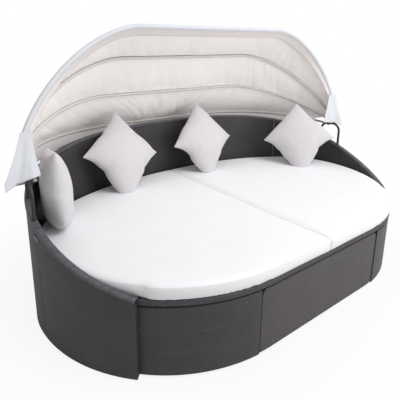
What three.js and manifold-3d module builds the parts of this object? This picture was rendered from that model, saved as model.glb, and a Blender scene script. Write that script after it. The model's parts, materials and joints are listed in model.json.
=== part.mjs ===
// An oval outdoor daybed in woven synthetic rattan: a low base with a wrap-round shell, two half
// mattresses, four scatter pillows, a stool that nests in the front and a canopy on folding hoops.
// Millimetres, +Z up, +X along the bed, the front towards -Y. The group stands on the ground with its
// origin under the middle of the whole object.
import * as THREE from "three";
import { mergeVertices } from "three/addons/utils/BufferGeometryUtils.js";
import Module from "manifold-3d";

const wasm = await Module();
wasm.setup();

// Driving dimensions

const clearance = 0.3; // between pieces that touch

const halfLength = 1077; // of the seat oval
const frontReach = 700; // from the oval's widest line to its front edge
const backReach = 622; // from the widest line to its back edge
const frontStraightWidth = 720; // of the straight run in the front edge
const frontFullness = 2.05; // 2 is an ellipse, more is squarer
const backFullness = 2.2;

const seatHeight = 350; // top of the rim that the mattresses lie on
const footHeight = 8;
const panelLift = 2; // of the woven panels above the feet's height
const backHeight = 755;
const wingFrontHeight = 363;
const shellThickness = 26;
const skirtThickness = 22;

const stoolHalfWidth = 436;
const stoolDepth = 500;
const stoolGap = 6; // at each side of the stool, in its alcove

const mattressThickness = 66;
const pillowSide = 355; // filled
const pillowThickness = 138;

const bracketRise = 124.3; // of the bent tube's crown above the shell
const bracketHalfWidth = 66;
const bracketTube = 16;
const pivotBack = 80; // from the widest line to the canopy's pivot
const hoopTube = 14;
const hoopPitch = 15; // from hoop to hoop along the pivot
const clothThickness = 2;

const outlineSteps = 60; // points in each quarter of the oval, before it is faceted
const ovalFacets = 84;
const roundSides = 20; // faces round a pin, a boss or a knob

// Materials

const paint = (name, color, roughness, metalness = 0) =>
  new THREE.MeshStandardMaterial({ name, color, roughness, metalness, side: THREE.DoubleSide });
const rattan = paint("rattan", 0x3c3a3e, 0.6);
const rattanRim = paint("rattan rim", 0x413f46, 0.55);
const rattanStool = paint("rattan stool", 0x5a5254, 0.6);
const steel = paint("powder coated steel", 0x151517, 0.45, 0.6);
const frameTube = paint("frame tube", 0x2b2b2e, 0.5, 0.6);
const stainless = paint("stainless", 0xb9bbc0, 0.3, 1);
const plastic = paint("plastic", 0x1a1a1c, 0.6);
const timber = paint("slat", 0x3a332e, 0.7);
const mattressCloth = paint("mattress cloth", 0xfafafd, 0.9);
const pillowCloth = paint("pillow cloth", 0xded8de, 0.9);
const canopyCloth = paint("canopy cloth", 0xebe4e1, 0.9);

const daybed = new THREE.Group();

function add(name, geometry, material, parent = daybed) {
  const mesh = new THREE.Mesh(geometry, material);
  mesh.name = name;
  parent.add(mesh);
  return mesh;
}

// A right-hand piece and its mirror image on the left
function addPair(name, geometry, material, parent = daybed) {
  const right = add(`${name}_right`, geometry, material, parent);
  const left = add(`${name}_left`, geometry.clone(), material, parent);
  left.scale.x = -1;
  return [right, left];
}

// Solids from rings, grids and booleans

function faceOutwards(geometry) {
  const p = geometry.getAttribute("position");
  const index = geometry.getIndex();
  const a = new THREE.Vector3();
  const b = new THREE.Vector3();
  const c = new THREE.Vector3();
  let volume = 0;
  for (let i = 0; i < index.count; i += 3) {
    a.fromBufferAttribute(p, index.getX(i));
    b.fromBufferAttribute(p, index.getX(i + 1));
    c.fromBufferAttribute(p, index.getX(i + 2));
    volume += a.dot(b.cross(c));
  }
  if (volume < 0) geometry.setIndex(Array.from(index.array).reverse());
  geometry.computeVertexNormals();
  return geometry;
}

function closedMesh(points, triangles) {
  const geometry = new THREE.BufferGeometry().setFromPoints(points);
  geometry.setIndex(triangles);
  return faceOutwards(geometry);
}

// Skins rings of equal length one after the other, with flat ends or joined end to end
function loft(rings, joined = false) {
  const count = rings[0].length;
  const triangles = [];
  const spans = joined ? rings.length : rings.length - 1;
  for (let i = 0; i < spans; i++) {
    const here = i * count;
    const next = ((i + 1) % rings.length) * count;
    for (let j = 0; j < count; j++) {
      const k = (j + 1) % count;
      triangles.push(here + j, next + j, next + k, here + j, next + k, here + k);
    }
  }
  if (!joined) {
    const end = (rings.length - 1) * count;
    for (let j = 1; j < count - 1; j++) {
      triangles.push(0, j, j + 1);
      triangles.push(end, end + j + 1, end + j);
    }
  }
  return closedMesh(rings.flat(), triangles);
}

// A closed sheet of even thickness about a grid of points
function sheet(grid, thickness) {
  const rows = grid.length;
  const columns = grid[0].length;
  const across = new THREE.Vector3();
  const down = new THREE.Vector3();
  const front = [];
  const back = [];
  for (let i = 0; i < rows; i++) {
    for (let j = 0; j < columns; j++) {
      const left = grid[i][Math.max(j - 1, 0)];
      const right = grid[i][Math.min(j + 1, columns - 1)];
      across.subVectors(right, left);
      down.subVectors(grid[Math.min(i + 1, rows - 1)][j], grid[Math.max(i - 1, 0)][j]);
      const normal = across.clone().cross(down).setLength(thickness / 2);
      front.push(grid[i][j].clone().add(normal));
      back.push(grid[i][j].clone().sub(normal));
    }
  }
  const total = rows * columns;
  const triangles = [];
  for (let i = 0; i < rows - 1; i++) {
    for (let j = 0; j < columns - 1; j++) {
      const a = i * columns + j;
      const b = a + columns;
      triangles.push(a, a + 1, b + 1, a, b + 1, b);
      triangles.push(total + a, total + b + 1, total + a + 1, total + a, total + b, total + b + 1);
    }
  }
  const border = [];
  for (let j = 0; j < columns - 1; j++) border.push(j);
  for (let i = 0; i < rows - 1; i++) border.push(i * columns + columns - 1);
  for (let j = columns - 1; j > 0; j--) border.push((rows - 1) * columns + j);
  for (let i = rows - 1; i > 0; i--) border.push(i * columns);
  border.forEach((a, i) => {
    const b = border[(i + 1) % border.length];
    triangles.push(a, total + a, total + b, a, total + b, b);
  });
  return closedMesh([...front, ...back], triangles);
}

function toSolid(geometry) {
  const bare = geometry.clone();
  bare.deleteAttribute("normal");
  bare.deleteAttribute("uv");
  const merged = mergeVertices(bare);
  return new wasm.Manifold(
    new wasm.Mesh({
      numProp: 3,
      vertProperties: Float32Array.from(merged.getAttribute("position").array),
      triVerts: Uint32Array.from(merged.getIndex().array),
    }),
  );
}

function fromSolid(solid) {
  const mesh = solid.getMesh();
  const geometry = new THREE.BufferGeometry();
  geometry.setAttribute("position", new THREE.Float32BufferAttribute(mesh.vertProperties, 3));
  geometry.setIndex(Array.from(mesh.triVerts));
  geometry.computeVertexNormals();
  return geometry;
}

function united(...geometries) {
  const solids = geometries.map(toSolid);
  return fromSolid(solids.slice(1).reduce((sum, solid) => sum.add(solid), solids[0]));
}

function cutFrom(geometry, ...tools) {
  return fromSolid(tools.reduce((rest, tool) => rest.subtract(toSolid(tool)), toSolid(geometry)));
}

const within = (geometry, limit) => fromSolid(toSolid(geometry).intersect(toSolid(limit)));

function box(low, high) {
  const size = new THREE.Vector3().subVectors(high, low);
  const middle = new THREE.Vector3().addVectors(low, high).multiplyScalar(0.5);
  return new THREE.BoxGeometry(size.x, size.y, size.z).translate(middle.x, middle.y, middle.z);
}

// A round bar along X, Y or Z between two places on that axis
function bar(axis, radius, from, to, across = [0, 0], sides = roundSides) {
  const geometry = new THREE.CylinderGeometry(radius, radius, Math.abs(to - from), sides);
  const middle = (from + to) / 2;
  if (axis === "x") return geometry.rotateZ(Math.PI / 2).translate(middle, across[0], across[1]);
  if (axis === "y") return geometry.translate(across[0], middle, across[1]);
  return geometry.rotateX(Math.PI / 2).translate(across[0], across[1], middle);
}

function tube(curve, diameter, steps, sides) {
  const corners = [];
  for (let i = 0; i < sides; i++) {
    const turn = (2 * Math.PI * i) / sides;
    corners.push(new THREE.Vector2(Math.cos(turn), Math.sin(turn)).multiplyScalar(diameter / 2));
  }
  return new THREE.ExtrudeGeometry(new THREE.Shape(corners), { steps, extrudePath: curve });
}

// The seat oval, in even facets. Distance runs round it from the middle of the front, towards +X first.

class Oval {
  constructor() {
    const outline = [new THREE.Vector2(0, -frontReach)];
    const quarters = [
      { side: 1, end: -1, flat: frontStraightWidth / 2, reach: frontReach, fullness: frontFullness },
      { side: 1, end: 1, flat: 0, reach: backReach, fullness: backFullness },
      { side: -1, end: 1, flat: 0, reach: backReach, fullness: backFullness },
      { side: -1, end: -1, flat: frontStraightWidth / 2, reach: frontReach, fullness: frontFullness },
    ];
    quarters.forEach(({ side, end, flat, reach, fullness }, quarter) => {
      for (let k = 0; k < outlineSteps; k++) {
        const share = quarter % 2 === 0 ? k / outlineSteps : 1 - k / outlineSteps;
        const angle = (share * Math.PI) / 2;
        const x = flat + (halfLength - flat) * Math.sin(angle) ** (2 / fullness);
        const y = reach * Math.cos(angle) ** (2 / fullness);
        outline.push(new THREE.Vector2(side * x, end * y));
      }
    });
    outline.push(new THREE.Vector2(-frontStraightWidth / 2, -frontReach), outline[0]);
    const lengths = [0];
    for (let i = 1; i < outline.length; i++) {
      lengths.push(lengths[i - 1] + outline[i].distanceTo(outline[i - 1]));
    }
    this.total = lengths.at(-1);
    this.rightEnd = lengths[1 + outlineSteps];
    this.backMiddle = this.total / 2;
    this.leftEnd = this.total - this.rightEnd;
    this.facet = this.total / ovalFacets;
    this.points = [];
    for (let i = 0; i < ovalFacets; i++) {
      const next = Math.max(1, lengths.findIndex((length) => length > i * this.facet));
      const share = (i * this.facet - lengths[next - 1]) / (lengths[next] - lengths[next - 1]);
      this.points.push(outline[next - 1].clone().lerp(outline[next], share));
    }
    this.outwards = this.points.map((point, i) => {
      const along = this.corner(i + 1).clone().sub(this.corner(i - 1)).normalize();
      return new THREE.Vector2(along.y, -along.x);
    });
  }

  corner(i) {
    return this.points[(i + ovalFacets) % ovalFacets];
  }

  // A point set off from the oval, on the facets that every piece shares
  at(distance, offset = 0, z = 0) {
    const place = (((distance / this.facet) % ovalFacets) + ovalFacets) % ovalFacets;
    const i = Math.floor(place) % ovalFacets;
    const next = (i + 1) % ovalFacets;
    const from = this.points[i].clone().addScaledVector(this.outwards[i], offset);
    const to = this.points[next].clone().addScaledVector(this.outwards[next], offset);
    const flat = from.lerp(to, place - Math.floor(place));
    return new THREE.Vector3(flat.x, flat.y, z);
  }

  // The ends of a stretch and the facets' corners between them
  stations(from, to) {
    const places = [from];
    const margin = this.facet / 20;
    for (let i = Math.ceil((from + margin) / this.facet); i * this.facet < to - margin; i++) {
      places.push(i * this.facet);
    }
    places.push(to);
    return places;
  }

  // The distance between two others at which one coordinate takes a value
  find(axis, value, from, to) {
    let low = from;
    let high = to;
    const rising = this.at(to)[axis] > this.at(from)[axis];
    for (let i = 0; i < 50; i++) {
      const middle = (low + high) / 2;
      if (this.at(middle)[axis] < value === rising) low = middle;
      else high = middle;
    }
    return low;
  }
}

const oval = new Oval();

// A prism of the oval's shape, set off from it, to trim what ends inside the shell
function ovalPrism(offset, low, high) {
  const places = oval.points.map((point, i) => i * oval.facet);
  return loft([low, high].map((z) => places.map((distance) => oval.at(distance, offset, z))));
}

// A band that follows the oval; section gives [offset, z] pairs at each distance
function band({ from, to, section, joined = false }) {
  const places = oval.stations(from, to);
  if (joined) places.pop();
  const rings = places.map((distance) =>
    section(distance).map(([offset, z]) => oval.at(distance, offset, z)),
  );
  return loft(rings, joined);
}

// Seat rim, with an inner ledge for the slats

const rimHeight = 28;
const rimWidth = 50;
const rimBandWidth = 28;
const rimEdge = 4; // chamfer of the woven-over edge
const slatThickness = 11.7;
const ledgeHeight = seatHeight - slatThickness - clearance;
const rimBottom = seatHeight - rimHeight;

add(
  "seat_rim",
  band({
    from: 0,
    to: oval.total,
    joined: true,
    section: () => [
      [-rimWidth, rimBottom],
      [-rimEdge, rimBottom],
      [0, rimBottom + rimEdge],
      [0, seatHeight - rimEdge],
      [-rimEdge, seatHeight],
      [-rimBandWidth, seatHeight],
      [-rimBandWidth, ledgeHeight],
      [-rimWidth, ledgeHeight],
    ],
  }),
  rattanRim,
);

// Skirts: woven front panels from the alcove round to the side seams, stepped in below the rim

const skirtRecess = 2; // behind the rim's face
const skirtBottom = footHeight + panelLift;
const grooveHeight = 6;
const grooveDepth = 6;
const alcoveHalfWidth = stoolHalfWidth + stoolGap;
const sideSeamFront = 30; // the side seams' place, ahead of the widest line
const sideSeam = oval.find("y", -sideSeamFront, 0, oval.rightEnd);
const skirtTop = rimBottom - clearance;

addPair(
  "skirt",
  band({
    from: oval.find("x", alcoveHalfWidth, 0, oval.rightEnd),
    to: sideSeam,
    section: () => [
      [-skirtRecess - skirtThickness, skirtBottom],
      [-skirtRecess, skirtBottom],
      [-skirtRecess, skirtTop - grooveHeight],
      [-skirtRecess - grooveDepth, skirtTop - grooveHeight],
      [-skirtRecess - grooveDepth, skirtTop],
      [-skirtRecess - skirtThickness, skirtTop],
    ],
  }),
  rattan,
);

// Alcove: side panels that stand on the ground and a rear panel that stops the stool

const alcoveThickness = 18;
const alcoveInside = ovalPrism(-skirtRecess - skirtThickness - clearance, 0, backHeight);
const alcoveBack = -frontReach + stoolDepth; // where the stool comes to rest

addPair(
  "alcove_panel",
  within(
    box(
      new THREE.Vector3(alcoveHalfWidth, -frontReach, 0),
      new THREE.Vector3(alcoveHalfWidth + alcoveThickness, alcoveBack, skirtTop),
    ),
    alcoveInside,
  ),
  rattan,
);
add(
  "alcove_rear",
  box(
    new THREE.Vector3(-alcoveHalfWidth - alcoveThickness, alcoveBack + clearance, 0),
    new THREE.Vector3(
      alcoveHalfWidth + alcoveThickness,
      alcoveBack + clearance + alcoveThickness,
      skirtTop,
    ),
  ),
  rattan,
);

// Deck: slats that end on the rim's ledge and meet over a centre beam, tied by a bearer in each half

const slatWidth = 60;
const slatPitch = 120;
const deckGap = 3; // between the two halves
const bearerWidth = 25;
const bearerHeight = 15;
const bearerPlace = 520;
const beamWidth = 30;
const slatBottom = ledgeHeight + clearance;

function deckHalf() {
  const deep = frontReach + backReach - 2 * rimWidth;
  const count = Math.floor(deep / slatPitch);
  const middle = (backReach - frontReach) / 2;
  const bars = [];
  for (let i = 0; i < count; i++) {
    const y = middle + (i - (count - 1) / 2) * slatPitch;
    const low = new THREE.Vector3(deckGap / 2, y - slatWidth / 2, slatBottom);
    bars.push(box(low, new THREE.Vector3(halfLength, y + slatWidth / 2, seatHeight)));
  }
  const slats = within(united(...bars), ovalPrism(-rimBandWidth - clearance, 0, backHeight));
  const bearerTop = slatBottom + slatThickness / 2;
  const bearer = box(
    new THREE.Vector3(bearerPlace - bearerWidth / 2, -frontReach, slatBottom - bearerHeight),
    new THREE.Vector3(bearerPlace + bearerWidth / 2, backReach, bearerTop),
  );
  return united(slats, within(bearer, ovalPrism(-rimWidth - clearance, 0, backHeight)));
}

addPair("deck", deckHalf(), timber);
const beam = box(
  new THREE.Vector3(-beamWidth / 2, -frontReach, rimBottom),
  new THREE.Vector3(beamWidth / 2, backReach, ledgeHeight),
);
add("centre_beam", within(beam, ovalPrism(-rimWidth - clearance, 0, backHeight)), steel);

// Legs: posts under the rim, each on a plastic glide

const postSize = 26;
const glideSize = 24;
const postOffset = -skirtRecess - skirtThickness - clearance - postSize / 2;
const legPlaceShares = { leg_front: 0.79, leg_side: 0.985, leg_rear: 0.52 }; // of the half length

function leg(distance) {
  const post = band({
    from: distance - postSize / 2,
    to: distance + postSize / 2,
    section: () => [
      [postOffset - postSize / 2, footHeight],
      [postOffset + postSize / 2, footHeight],
      [postOffset + postSize / 2, skirtTop],
      [postOffset - postSize / 2, skirtTop],
    ],
  });
  const foot = oval.at(distance, postOffset);
  return united(post, bar("z", glideSize / 2, 0, footHeight + clearance, [foot.x, foot.y]));
}

for (const [name, share] of Object.entries(legPlaceShares)) {
  const ahead = name === "leg_front";
  const [from, to] = ahead ? [0, oval.rightEnd] : [oval.rightEnd, oval.backMiddle];
  addPair(name, leg(oval.find("x", share * halfLength, from, to)), steel);
}

// Shell: woven panels outside the rim that rise in one sweep from the wings to the back

const wingFrontLine = 478; // ahead of the widest line
const backSeamRight = 840; // from the middle
const backSeamLeft = 570;
const seamGap = 3;
const railHeight = 14;
const railOverhang = 2;
const railEdge = 5; // chamfer of the wrapped rail
const shellBottom = footHeight + panelLift;
const shellBulgeShare = 0.55; // by how much the top line rises above a straight one near the back
const shellInside = clearance;
const shellOutside = clearance + shellThickness;
const wingFront = oval.find("y", -wingFrontLine, 0, oval.rightEnd);
const seamRight = oval.find("x", backSeamRight, oval.rightEnd, oval.backMiddle);
const seamLeft = oval.find("x", -backSeamLeft, oval.backMiddle, oval.leftEnd);
const sideSeamLeft = oval.total - sideSeam;

function topLine(y) {
  const rise = Math.max(0, (y + wingFrontLine) / (backReach + wingFrontLine));
  const eased = rise + shellBulgeShare * rise ** 3 * (1 - rise);
  return wingFrontHeight + (backHeight - wingFrontHeight) * eased;
}

function shellTop(distance) {
  return topLine(oval.at(distance).y);
}

function shellPanel(from, to) {
  const section = (distance) => {
    const top = shellTop(distance) - railHeight;
    return [
      [shellInside, shellBottom],
      [shellOutside, shellBottom],
      [shellOutside, top],
      [shellInside, top],
    ];
  };
  return band({ from, to, section });
}

// The rail's underside has the same corners as the top of the panel below it
function topRail(from, to) {
  const face = shellOutside + railOverhang;
  const section = (distance) => {
    const top = shellTop(distance);
    const low = top - railHeight + clearance;
    return [
      [shellOutside, low],
      [shellInside, low],
      [shellInside, top - railEdge],
      [shellInside + railEdge, top],
      [face - railEdge, top],
      [face, top - railEdge],
      [face, low],
    ];
  };
  return band({ from, to, section });
}

// Brackets: bent tubes whose legs are set into the shell, with a boss across the crown for the pivot

const bendRadius = 52;
const bracketSteps = 26;
const bracketSides = 10;
const legDepth = 45; // of the bracket's legs in the shell
const socketDepth = 46;
const bossRadius = 10;
const bossInner = 18; // from the bracket's plane towards the bed
const bossOuter = 9.5;
const boltRadius = 4;
const wallMiddle = clearance + shellThickness / 2;
const pivotDistance = oval.find("y", pivotBack, oval.rightEnd, oval.backMiddle);
const pivotHeight = shellTop(pivotDistance) + bracketRise;
const legDistances = [pivotBack - bracketHalfWidth, pivotBack + bracketHalfWidth].map((y) =>
  oval.find("y", y, oval.rightEnd, oval.backMiddle),
);
const bracketLegs = legDistances.map((distance) => oval.at(distance, wallMiddle));
const bracketAlong = bracketLegs[1].clone().sub(bracketLegs[0]).normalize();
const bracketTurn = Math.atan2(bracketAlong.y, bracketAlong.x);
const bracketX = (bracketLegs[0].x + bracketLegs[1].x) / 2;
const legBottoms = legDistances.map((distance) => shellTop(distance) - legDepth);

function sockets() {
  return bracketLegs.map(({ x, y }, i) => {
    const bottom = legBottoms[i] + legDepth - socketDepth;
    return bar("z", bracketTube / 2 + clearance, bottom, pivotHeight, [x, y]);
  });
}

class BracketPath extends THREE.CurvePath {
  constructor() {
    super();
    const [front, rear] = bracketLegs;
    const place = (leg, shift, z) => leg.clone().addScaledVector(bracketAlong, shift).setZ(z);
    const frontBend = place(front, 0, pivotHeight - bendRadius);
    const frontCrown = place(front, bendRadius, pivotHeight);
    const rearCrown = place(rear, -bendRadius, pivotHeight);
    const rearBend = place(rear, 0, pivotHeight - bendRadius);
    this.add(new THREE.LineCurve3(place(front, 0, legBottoms[0]), frontBend));
    this.add(new THREE.QuadraticBezierCurve3(frontBend, place(front, 0, pivotHeight), frontCrown));
    this.add(new THREE.LineCurve3(frontCrown, rearCrown));
    this.add(new THREE.QuadraticBezierCurve3(rearCrown, place(rear, 0, pivotHeight), rearBend));
    this.add(new THREE.LineCurve3(rearBend, place(rear, 0, legBottoms[1])));
  }
}

function bracket() {
  const bent = tube(new BracketPath(), bracketTube, bracketSteps, bracketSides);
  const across = [pivotBack, pivotHeight];
  const boss = bar("x", bossRadius, bracketX - bossInner, bracketX + bossOuter, across);
  const bore = boltBore(bracketX - bossInner, bracketX + bossOuter);
  return cutFrom(united(bent, boss), bore);
}

function boltBore(from, to) {
  const overrun = 1;
  return bar("x", boltRadius + clearance, from - overrun, to + overrun, [pivotBack, pivotHeight]);
}

addPair("bracket", bracket(), steel);

const shellParts = {
  wing_right: [wingFront, sideSeam - seamGap / 2],
  back_right: [sideSeam + seamGap / 2, seamRight - seamGap / 2],
  back_centre: [seamRight + seamGap / 2, seamLeft - seamGap / 2],
  back_left: [seamLeft + seamGap / 2, sideSeamLeft - seamGap / 2],
  wing_left: [sideSeamLeft + seamGap / 2, oval.total - wingFront],
};
const mirrored = (geometry) => {
  const copy = geometry.clone().scale(-1, 1, 1);
  return faceOutwards(copy);
};

for (const [name, [from, to]] of Object.entries(shellParts)) {
  const socketed = name === "back_right" || name === "back_left";
  const tools = name === "back_left" ? sockets().map(mirrored) : sockets();
  const panel = shellPanel(from, to);
  const rail = topRail(from, to);
  add(name, socketed ? cutFrom(panel, ...tools) : panel, rattan);
  add(`${name}_rail`, socketed ? cutFrom(rail, ...tools) : rail, rattanRim);
}

// Clips: stainless straps across the seams of the shell

const clipLength = 60;
const clipHeight = 14;
const clipThickness = 2;
const clipDrop = 40; // below the top rail

function clip(seam) {
  const top = shellTop(seam) - clipDrop;
  const near = shellOutside + clearance;
  const section = () => [
    [near, top - clipHeight],
    [near + clipThickness, top - clipHeight],
    [near + clipThickness, top],
    [near, top],
  ];
  return band({ from: seam - clipLength / 2, to: seam + clipLength / 2, section });
}

add("clip_side_right", clip(sideSeam), stainless);
add("clip_back_right", clip(seamRight), stainless);
add("clip_back_left", clip(seamLeft), stainless);
add("clip_side_left", clip(sideSeamLeft), stainless);

// Canopy hoops: each a flat-topped arch in a plane through the pivot axis, with a knuckle at each end

const knuckleRadius = 10;
const knuckleLength = hoopPitch - 2 * clearance;
const hoopRoot = 8; // from the pivot axis to the end of the tube
const hoopSides = 8;
const bendShare = 0.36; // of the run along a hoop, at each bent end
const bendSteps = 18;
const flatSteps = 6;
const firstKnuckle = bracketX + bossOuter + clearance + knuckleLength / 2;
const rearKnuckle = bracketX - bossInner - clearance - knuckleLength / 2;
const degrees = Math.PI / 180;
const rearReach = 666;
const rearTipDrop = 9; // of the rear hoop's tip, below the top of the back
const rearLean = Math.acos((backHeight - rearTipDrop - pivotHeight) / rearReach) / degrees;

// Every hoop and cloth has its corners at these shares of the run along a hoop
const archShares = [];
for (let i = 0; i < bendSteps; i++) archShares.push((bendShare * i) / bendSteps);
for (let i = 0; i <= flatSteps; i++) archShares.push(bendShare + ((1 - 2 * bendShare) * i) / flatSteps);
for (let i = bendSteps - 1; i >= 0; i--) archShares.push(1 - archShares[i]);

// Lean from upright, and half the width of the straight crown
const hoops = {
  front: { lean: -3.56, reach: 647, width: firstKnuckle + 2 * hoopPitch, crownWidth: 490, fullness: 1.7 },
  second: { lean: -32.55, reach: 570.5, width: firstKnuckle + hoopPitch, crownWidth: 450, fullness: 1.7 },
  third: { lean: -61.2, reach: 541, width: firstKnuckle, crownWidth: 480, fullness: 1.7 },
  rear: { lean: -rearLean, reach: rearReach, width: rearKnuckle, crownWidth: 250, fullness: 2.3 },
};

class Arch extends THREE.Curve {
  constructor({ reach, width, crownWidth, fullness }) {
    super();
    this.reach = reach;
    this.width = width;
    this.crownWidth = crownWidth;
    this.fullness = fullness;
  }

  getPoint(share, target = new THREE.Vector3()) {
    const side = share < 0.5 ? 1 : -1;
    const run = Math.min(share, 1 - share) / bendShare;
    if (run >= 1) {
      const middle = (0.5 - share) / (0.5 - bendShare);
      return target.set(this.crownWidth * middle, 0, this.reach);
    }
    const angle = (run * Math.PI) / 2;
    const x = this.crownWidth + (this.width - this.crownWidth) * Math.cos(angle) ** (2 / this.fullness);
    const z = hoopRoot + (this.reach - hoopRoot) * Math.sin(angle) ** (2 / this.fullness);
    return target.set(side * x, 0, z);
  }

  // A point set off from the centreline: outwards in the arch's plane, and forwards of it
  offset(share, outward, forward = 0) {
    const point = this.getPoint(share);
    const along = this.getTangent(share);
    return new THREE.Vector3(point.x + along.z * outward, -forward, point.z - along.x * outward);
  }

  // Half the arch's width at a height above the pivot
  widthAt(height) {
    const rise = (height - hoopRoot) / (this.reach - hoopRoot);
    const bend = (1 - rise ** this.fullness) ** (1 / this.fullness);
    return this.crownWidth + (this.width - this.crownWidth) * bend;
  }

  tube(diameter) {
    const rings = archShares.map((share) => {
      const ring = [];
      for (let i = 0; i < hoopSides; i++) {
        const turn = (2 * Math.PI * (i + 0.5)) / hoopSides;
        ring.push(this.offset(share, (Math.cos(turn) * diameter) / 2, (Math.sin(turn) * diameter) / 2));
      }
      return ring;
    });
    return loft(rings);
  }
}

const arches = Object.fromEntries(Object.entries(hoops).map(([name, sizes]) => [name, new Arch(sizes)]));

function swing(geometry, lean) {
  return geometry.rotateX(lean * degrees).translate(0, pivotBack, pivotHeight);
}

function hoop(name) {
  const { width } = hoops[name];
  const overrun = 1;
  const low = width - knuckleLength / 2;
  const high = width + knuckleLength / 2;
  const parts = [arches[name].tube(hoopTube)];
  const bores = [];
  for (const side of [1, -1]) {
    parts.push(bar("x", knuckleRadius, side * low, side * high));
    bores.push(bar("x", boltRadius + clearance, side * (low - overrun), side * (high + overrun)));
  }
  return swing(cutFrom(united(...parts), ...bores), hoops[name].lean);
}

for (const name of Object.keys(hoops)) add(`hoop_${name}`, hoop(name), frameTube);

// Pivot bolts and their cap nuts

const boltHeadRadius = 8;
const boltHeadThickness = 5;
const nutRadius = 8;
const nutThickness = 6;
const nutCapRadius = 6;
const nutCapThickness = 5;
const nutBoreDepth = 8;
const pivotLine = [pivotBack, pivotHeight];
const boltHead = hoops.front.width + knuckleLength / 2 + clearance;
const nutFace = rearKnuckle - knuckleLength / 2 - clearance;

function capNut() {
  const hexagon = new THREE.CylinderGeometry(nutRadius, nutRadius, nutThickness, 6)
    .rotateZ(Math.PI / 2)
    .translate(nutFace - nutThickness / 2, pivotBack, pivotHeight);
  const cap = bar("x", nutCapRadius, nutFace - nutThickness - nutCapThickness, nutFace, pivotLine);
  return cutFrom(united(hexagon, cap), boltBore(nutFace - nutBoreDepth, nutFace));
}

const boltTip = nutFace - nutBoreDepth;
const bolt = united(
  bar("x", boltRadius, boltTip, boltHead + boltHeadThickness / 2, pivotLine),
  bar("x", boltHeadRadius, boltHead, boltHead + boltHeadThickness, pivotLine),
);
addPair("pivot_bolt", bolt, steel);
addPair("pivot_nut", capNut(), steel);

// Canopy cloth: a panel from each hoop to the next, sagging a little towards the pivot

const clothSlack = 0.76; // between a hoop and the cloth over it
const clothStart = 2; // facets of a hoop left bare at each end
const clothRows = 5;
const clothSagShare = 0.04; // of the distance between the hoops
const clothEdge = 2; // left free on each side of a hoop's line
const clothSlopeShare = 0.2; // by which the sag steepens the cloth at a hoop
const hemWidth = 55;
const hemGap = 7; // from the hoop's centreline to the hem
const hemRows = 2;
const clothShares = archShares.slice(clothStart, -clothStart);

function hung(name, share, outward) {
  const point = arches[name].offset(share, outward);
  return point.applyAxisAngle(new THREE.Vector3(1, 0, 0), hoops[name].lean * degrees);
}

// Where the cloth crosses over one hoop on its way to another, clear of the tube whatever its slope
function crossing(name, other, share) {
  const centre = hung(name, share, 0);
  const outward = hung(name, share, 1).sub(centre);
  const onward = hung(other, share, 0).sub(centre).normalize();
  const slope = Math.abs(onward.dot(outward)) + clothSlopeShare;
  const clear = hoopTube / 2 + clothThickness / 2 + clothSlack;
  return centre.addScaledVector(outward, clear / Math.sqrt(1 - slope * slope));
}

function clothPanel(ahead, behind) {
  const rows = [];
  for (let i = 0; i <= clothRows; i++) {
    const row = clothShares.map((share) => {
      const front = crossing(ahead, behind, share);
      const rear = crossing(behind, ahead, share);
      const edge = clothEdge / front.distanceTo(rear);
      const across = edge + ((1 - 2 * edge) * i) / clothRows;
      const inwards = hung(ahead, share, 0).add(hung(behind, share, 0)).sub(front).sub(rear);
      const sag = clothSagShare * front.distanceTo(rear) * 4 * across * (1 - across);
      const point = front.lerp(rear, across).add(inwards.setLength(sag));
      return point.add(new THREE.Vector3(0, pivotBack, pivotHeight));
    });
    rows.push(row);
  }
  return sheet(rows, clothThickness);
}

function hem() {
  const rows = [];
  for (let i = 0; i <= hemRows; i++) {
    const drop = hemGap + (hemWidth * i) / hemRows;
    rows.push(clothShares.map((share) => arches.front.offset(share, -drop)));
  }
  return swing(sheet(rows, clothThickness), hoops.front.lean);
}

add("cloth_front", clothPanel("front", "second"), canopyCloth);
add("cloth_middle", clothPanel("second", "third"), canopyCloth);
add("cloth_rear", clothPanel("third", "rear"), canopyCloth);
add("front_hem", hem(), canopyCloth);

// End flaps: loose corners that hang in folds ahead of the front hoop

const flapTop = 270; // above the pivot
const flapBottom = 16;
const flapTopWidth = 55;
const flapInside = 1010; // of its lower edge, from the middle
const flapOutside = 1200;
const flapGap = 8; // ahead of the hoop's centreline
const flapFold = 15; // depth of the folds at the lower edge
const flapFolds = 1.5;
const flapRows = 8;
const flapColumns = 9;

function flap() {
  const topMiddle = arches.front.widthAt(flapTop);
  const rows = [];
  for (let i = 0; i <= flapRows; i++) {
    const fall = i / flapRows;
    const spread = fall ** 1.25;
    const inside = topMiddle - flapTopWidth / 2 + (flapInside - topMiddle + flapTopWidth / 2) * spread;
    const outside = topMiddle + flapTopWidth / 2 + (flapOutside - topMiddle - flapTopWidth / 2) * spread;
    const row = [];
    for (let j = 0; j <= flapColumns; j++) {
      const across = j / flapColumns;
      const fold = 0.5 - 0.5 * Math.cos(across * flapFolds * 2 * Math.PI);
      const x = inside + (outside - inside) * across;
      const y = -flapGap - flapFold * spread * fold;
      row.push(new THREE.Vector3(x, y, flapTop + (flapBottom - flapTop) * fall));
    }
    rows.push(row);
  }
  return swing(sheet(rows, clothThickness), hoops.front.lean);
}

addPair("flap", flap(), canopyCloth);

// Half mattresses: soft-edged and crowned, over the rim in front and inside the shell behind

const mattressOverhang = 8; // past the rim, between the wings
const mattressInset = 5; // from the rim's face, inside the shell
const mattressBlend = 70; // over which the one becomes the other
const mattressGap = 3; // between the halves
const mattressCurvePoints = 30;
const mattressSeamPoints = 8;
const mattressCrown = 8;
const mattressRollInset = 9;
const mattressCrownInset = 100;
const seamWaist = 4; // by which the seam's side is drawn in
const mattressBottom = seatHeight + clearance;
const mattressTop = mattressBottom + mattressThickness;

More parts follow.
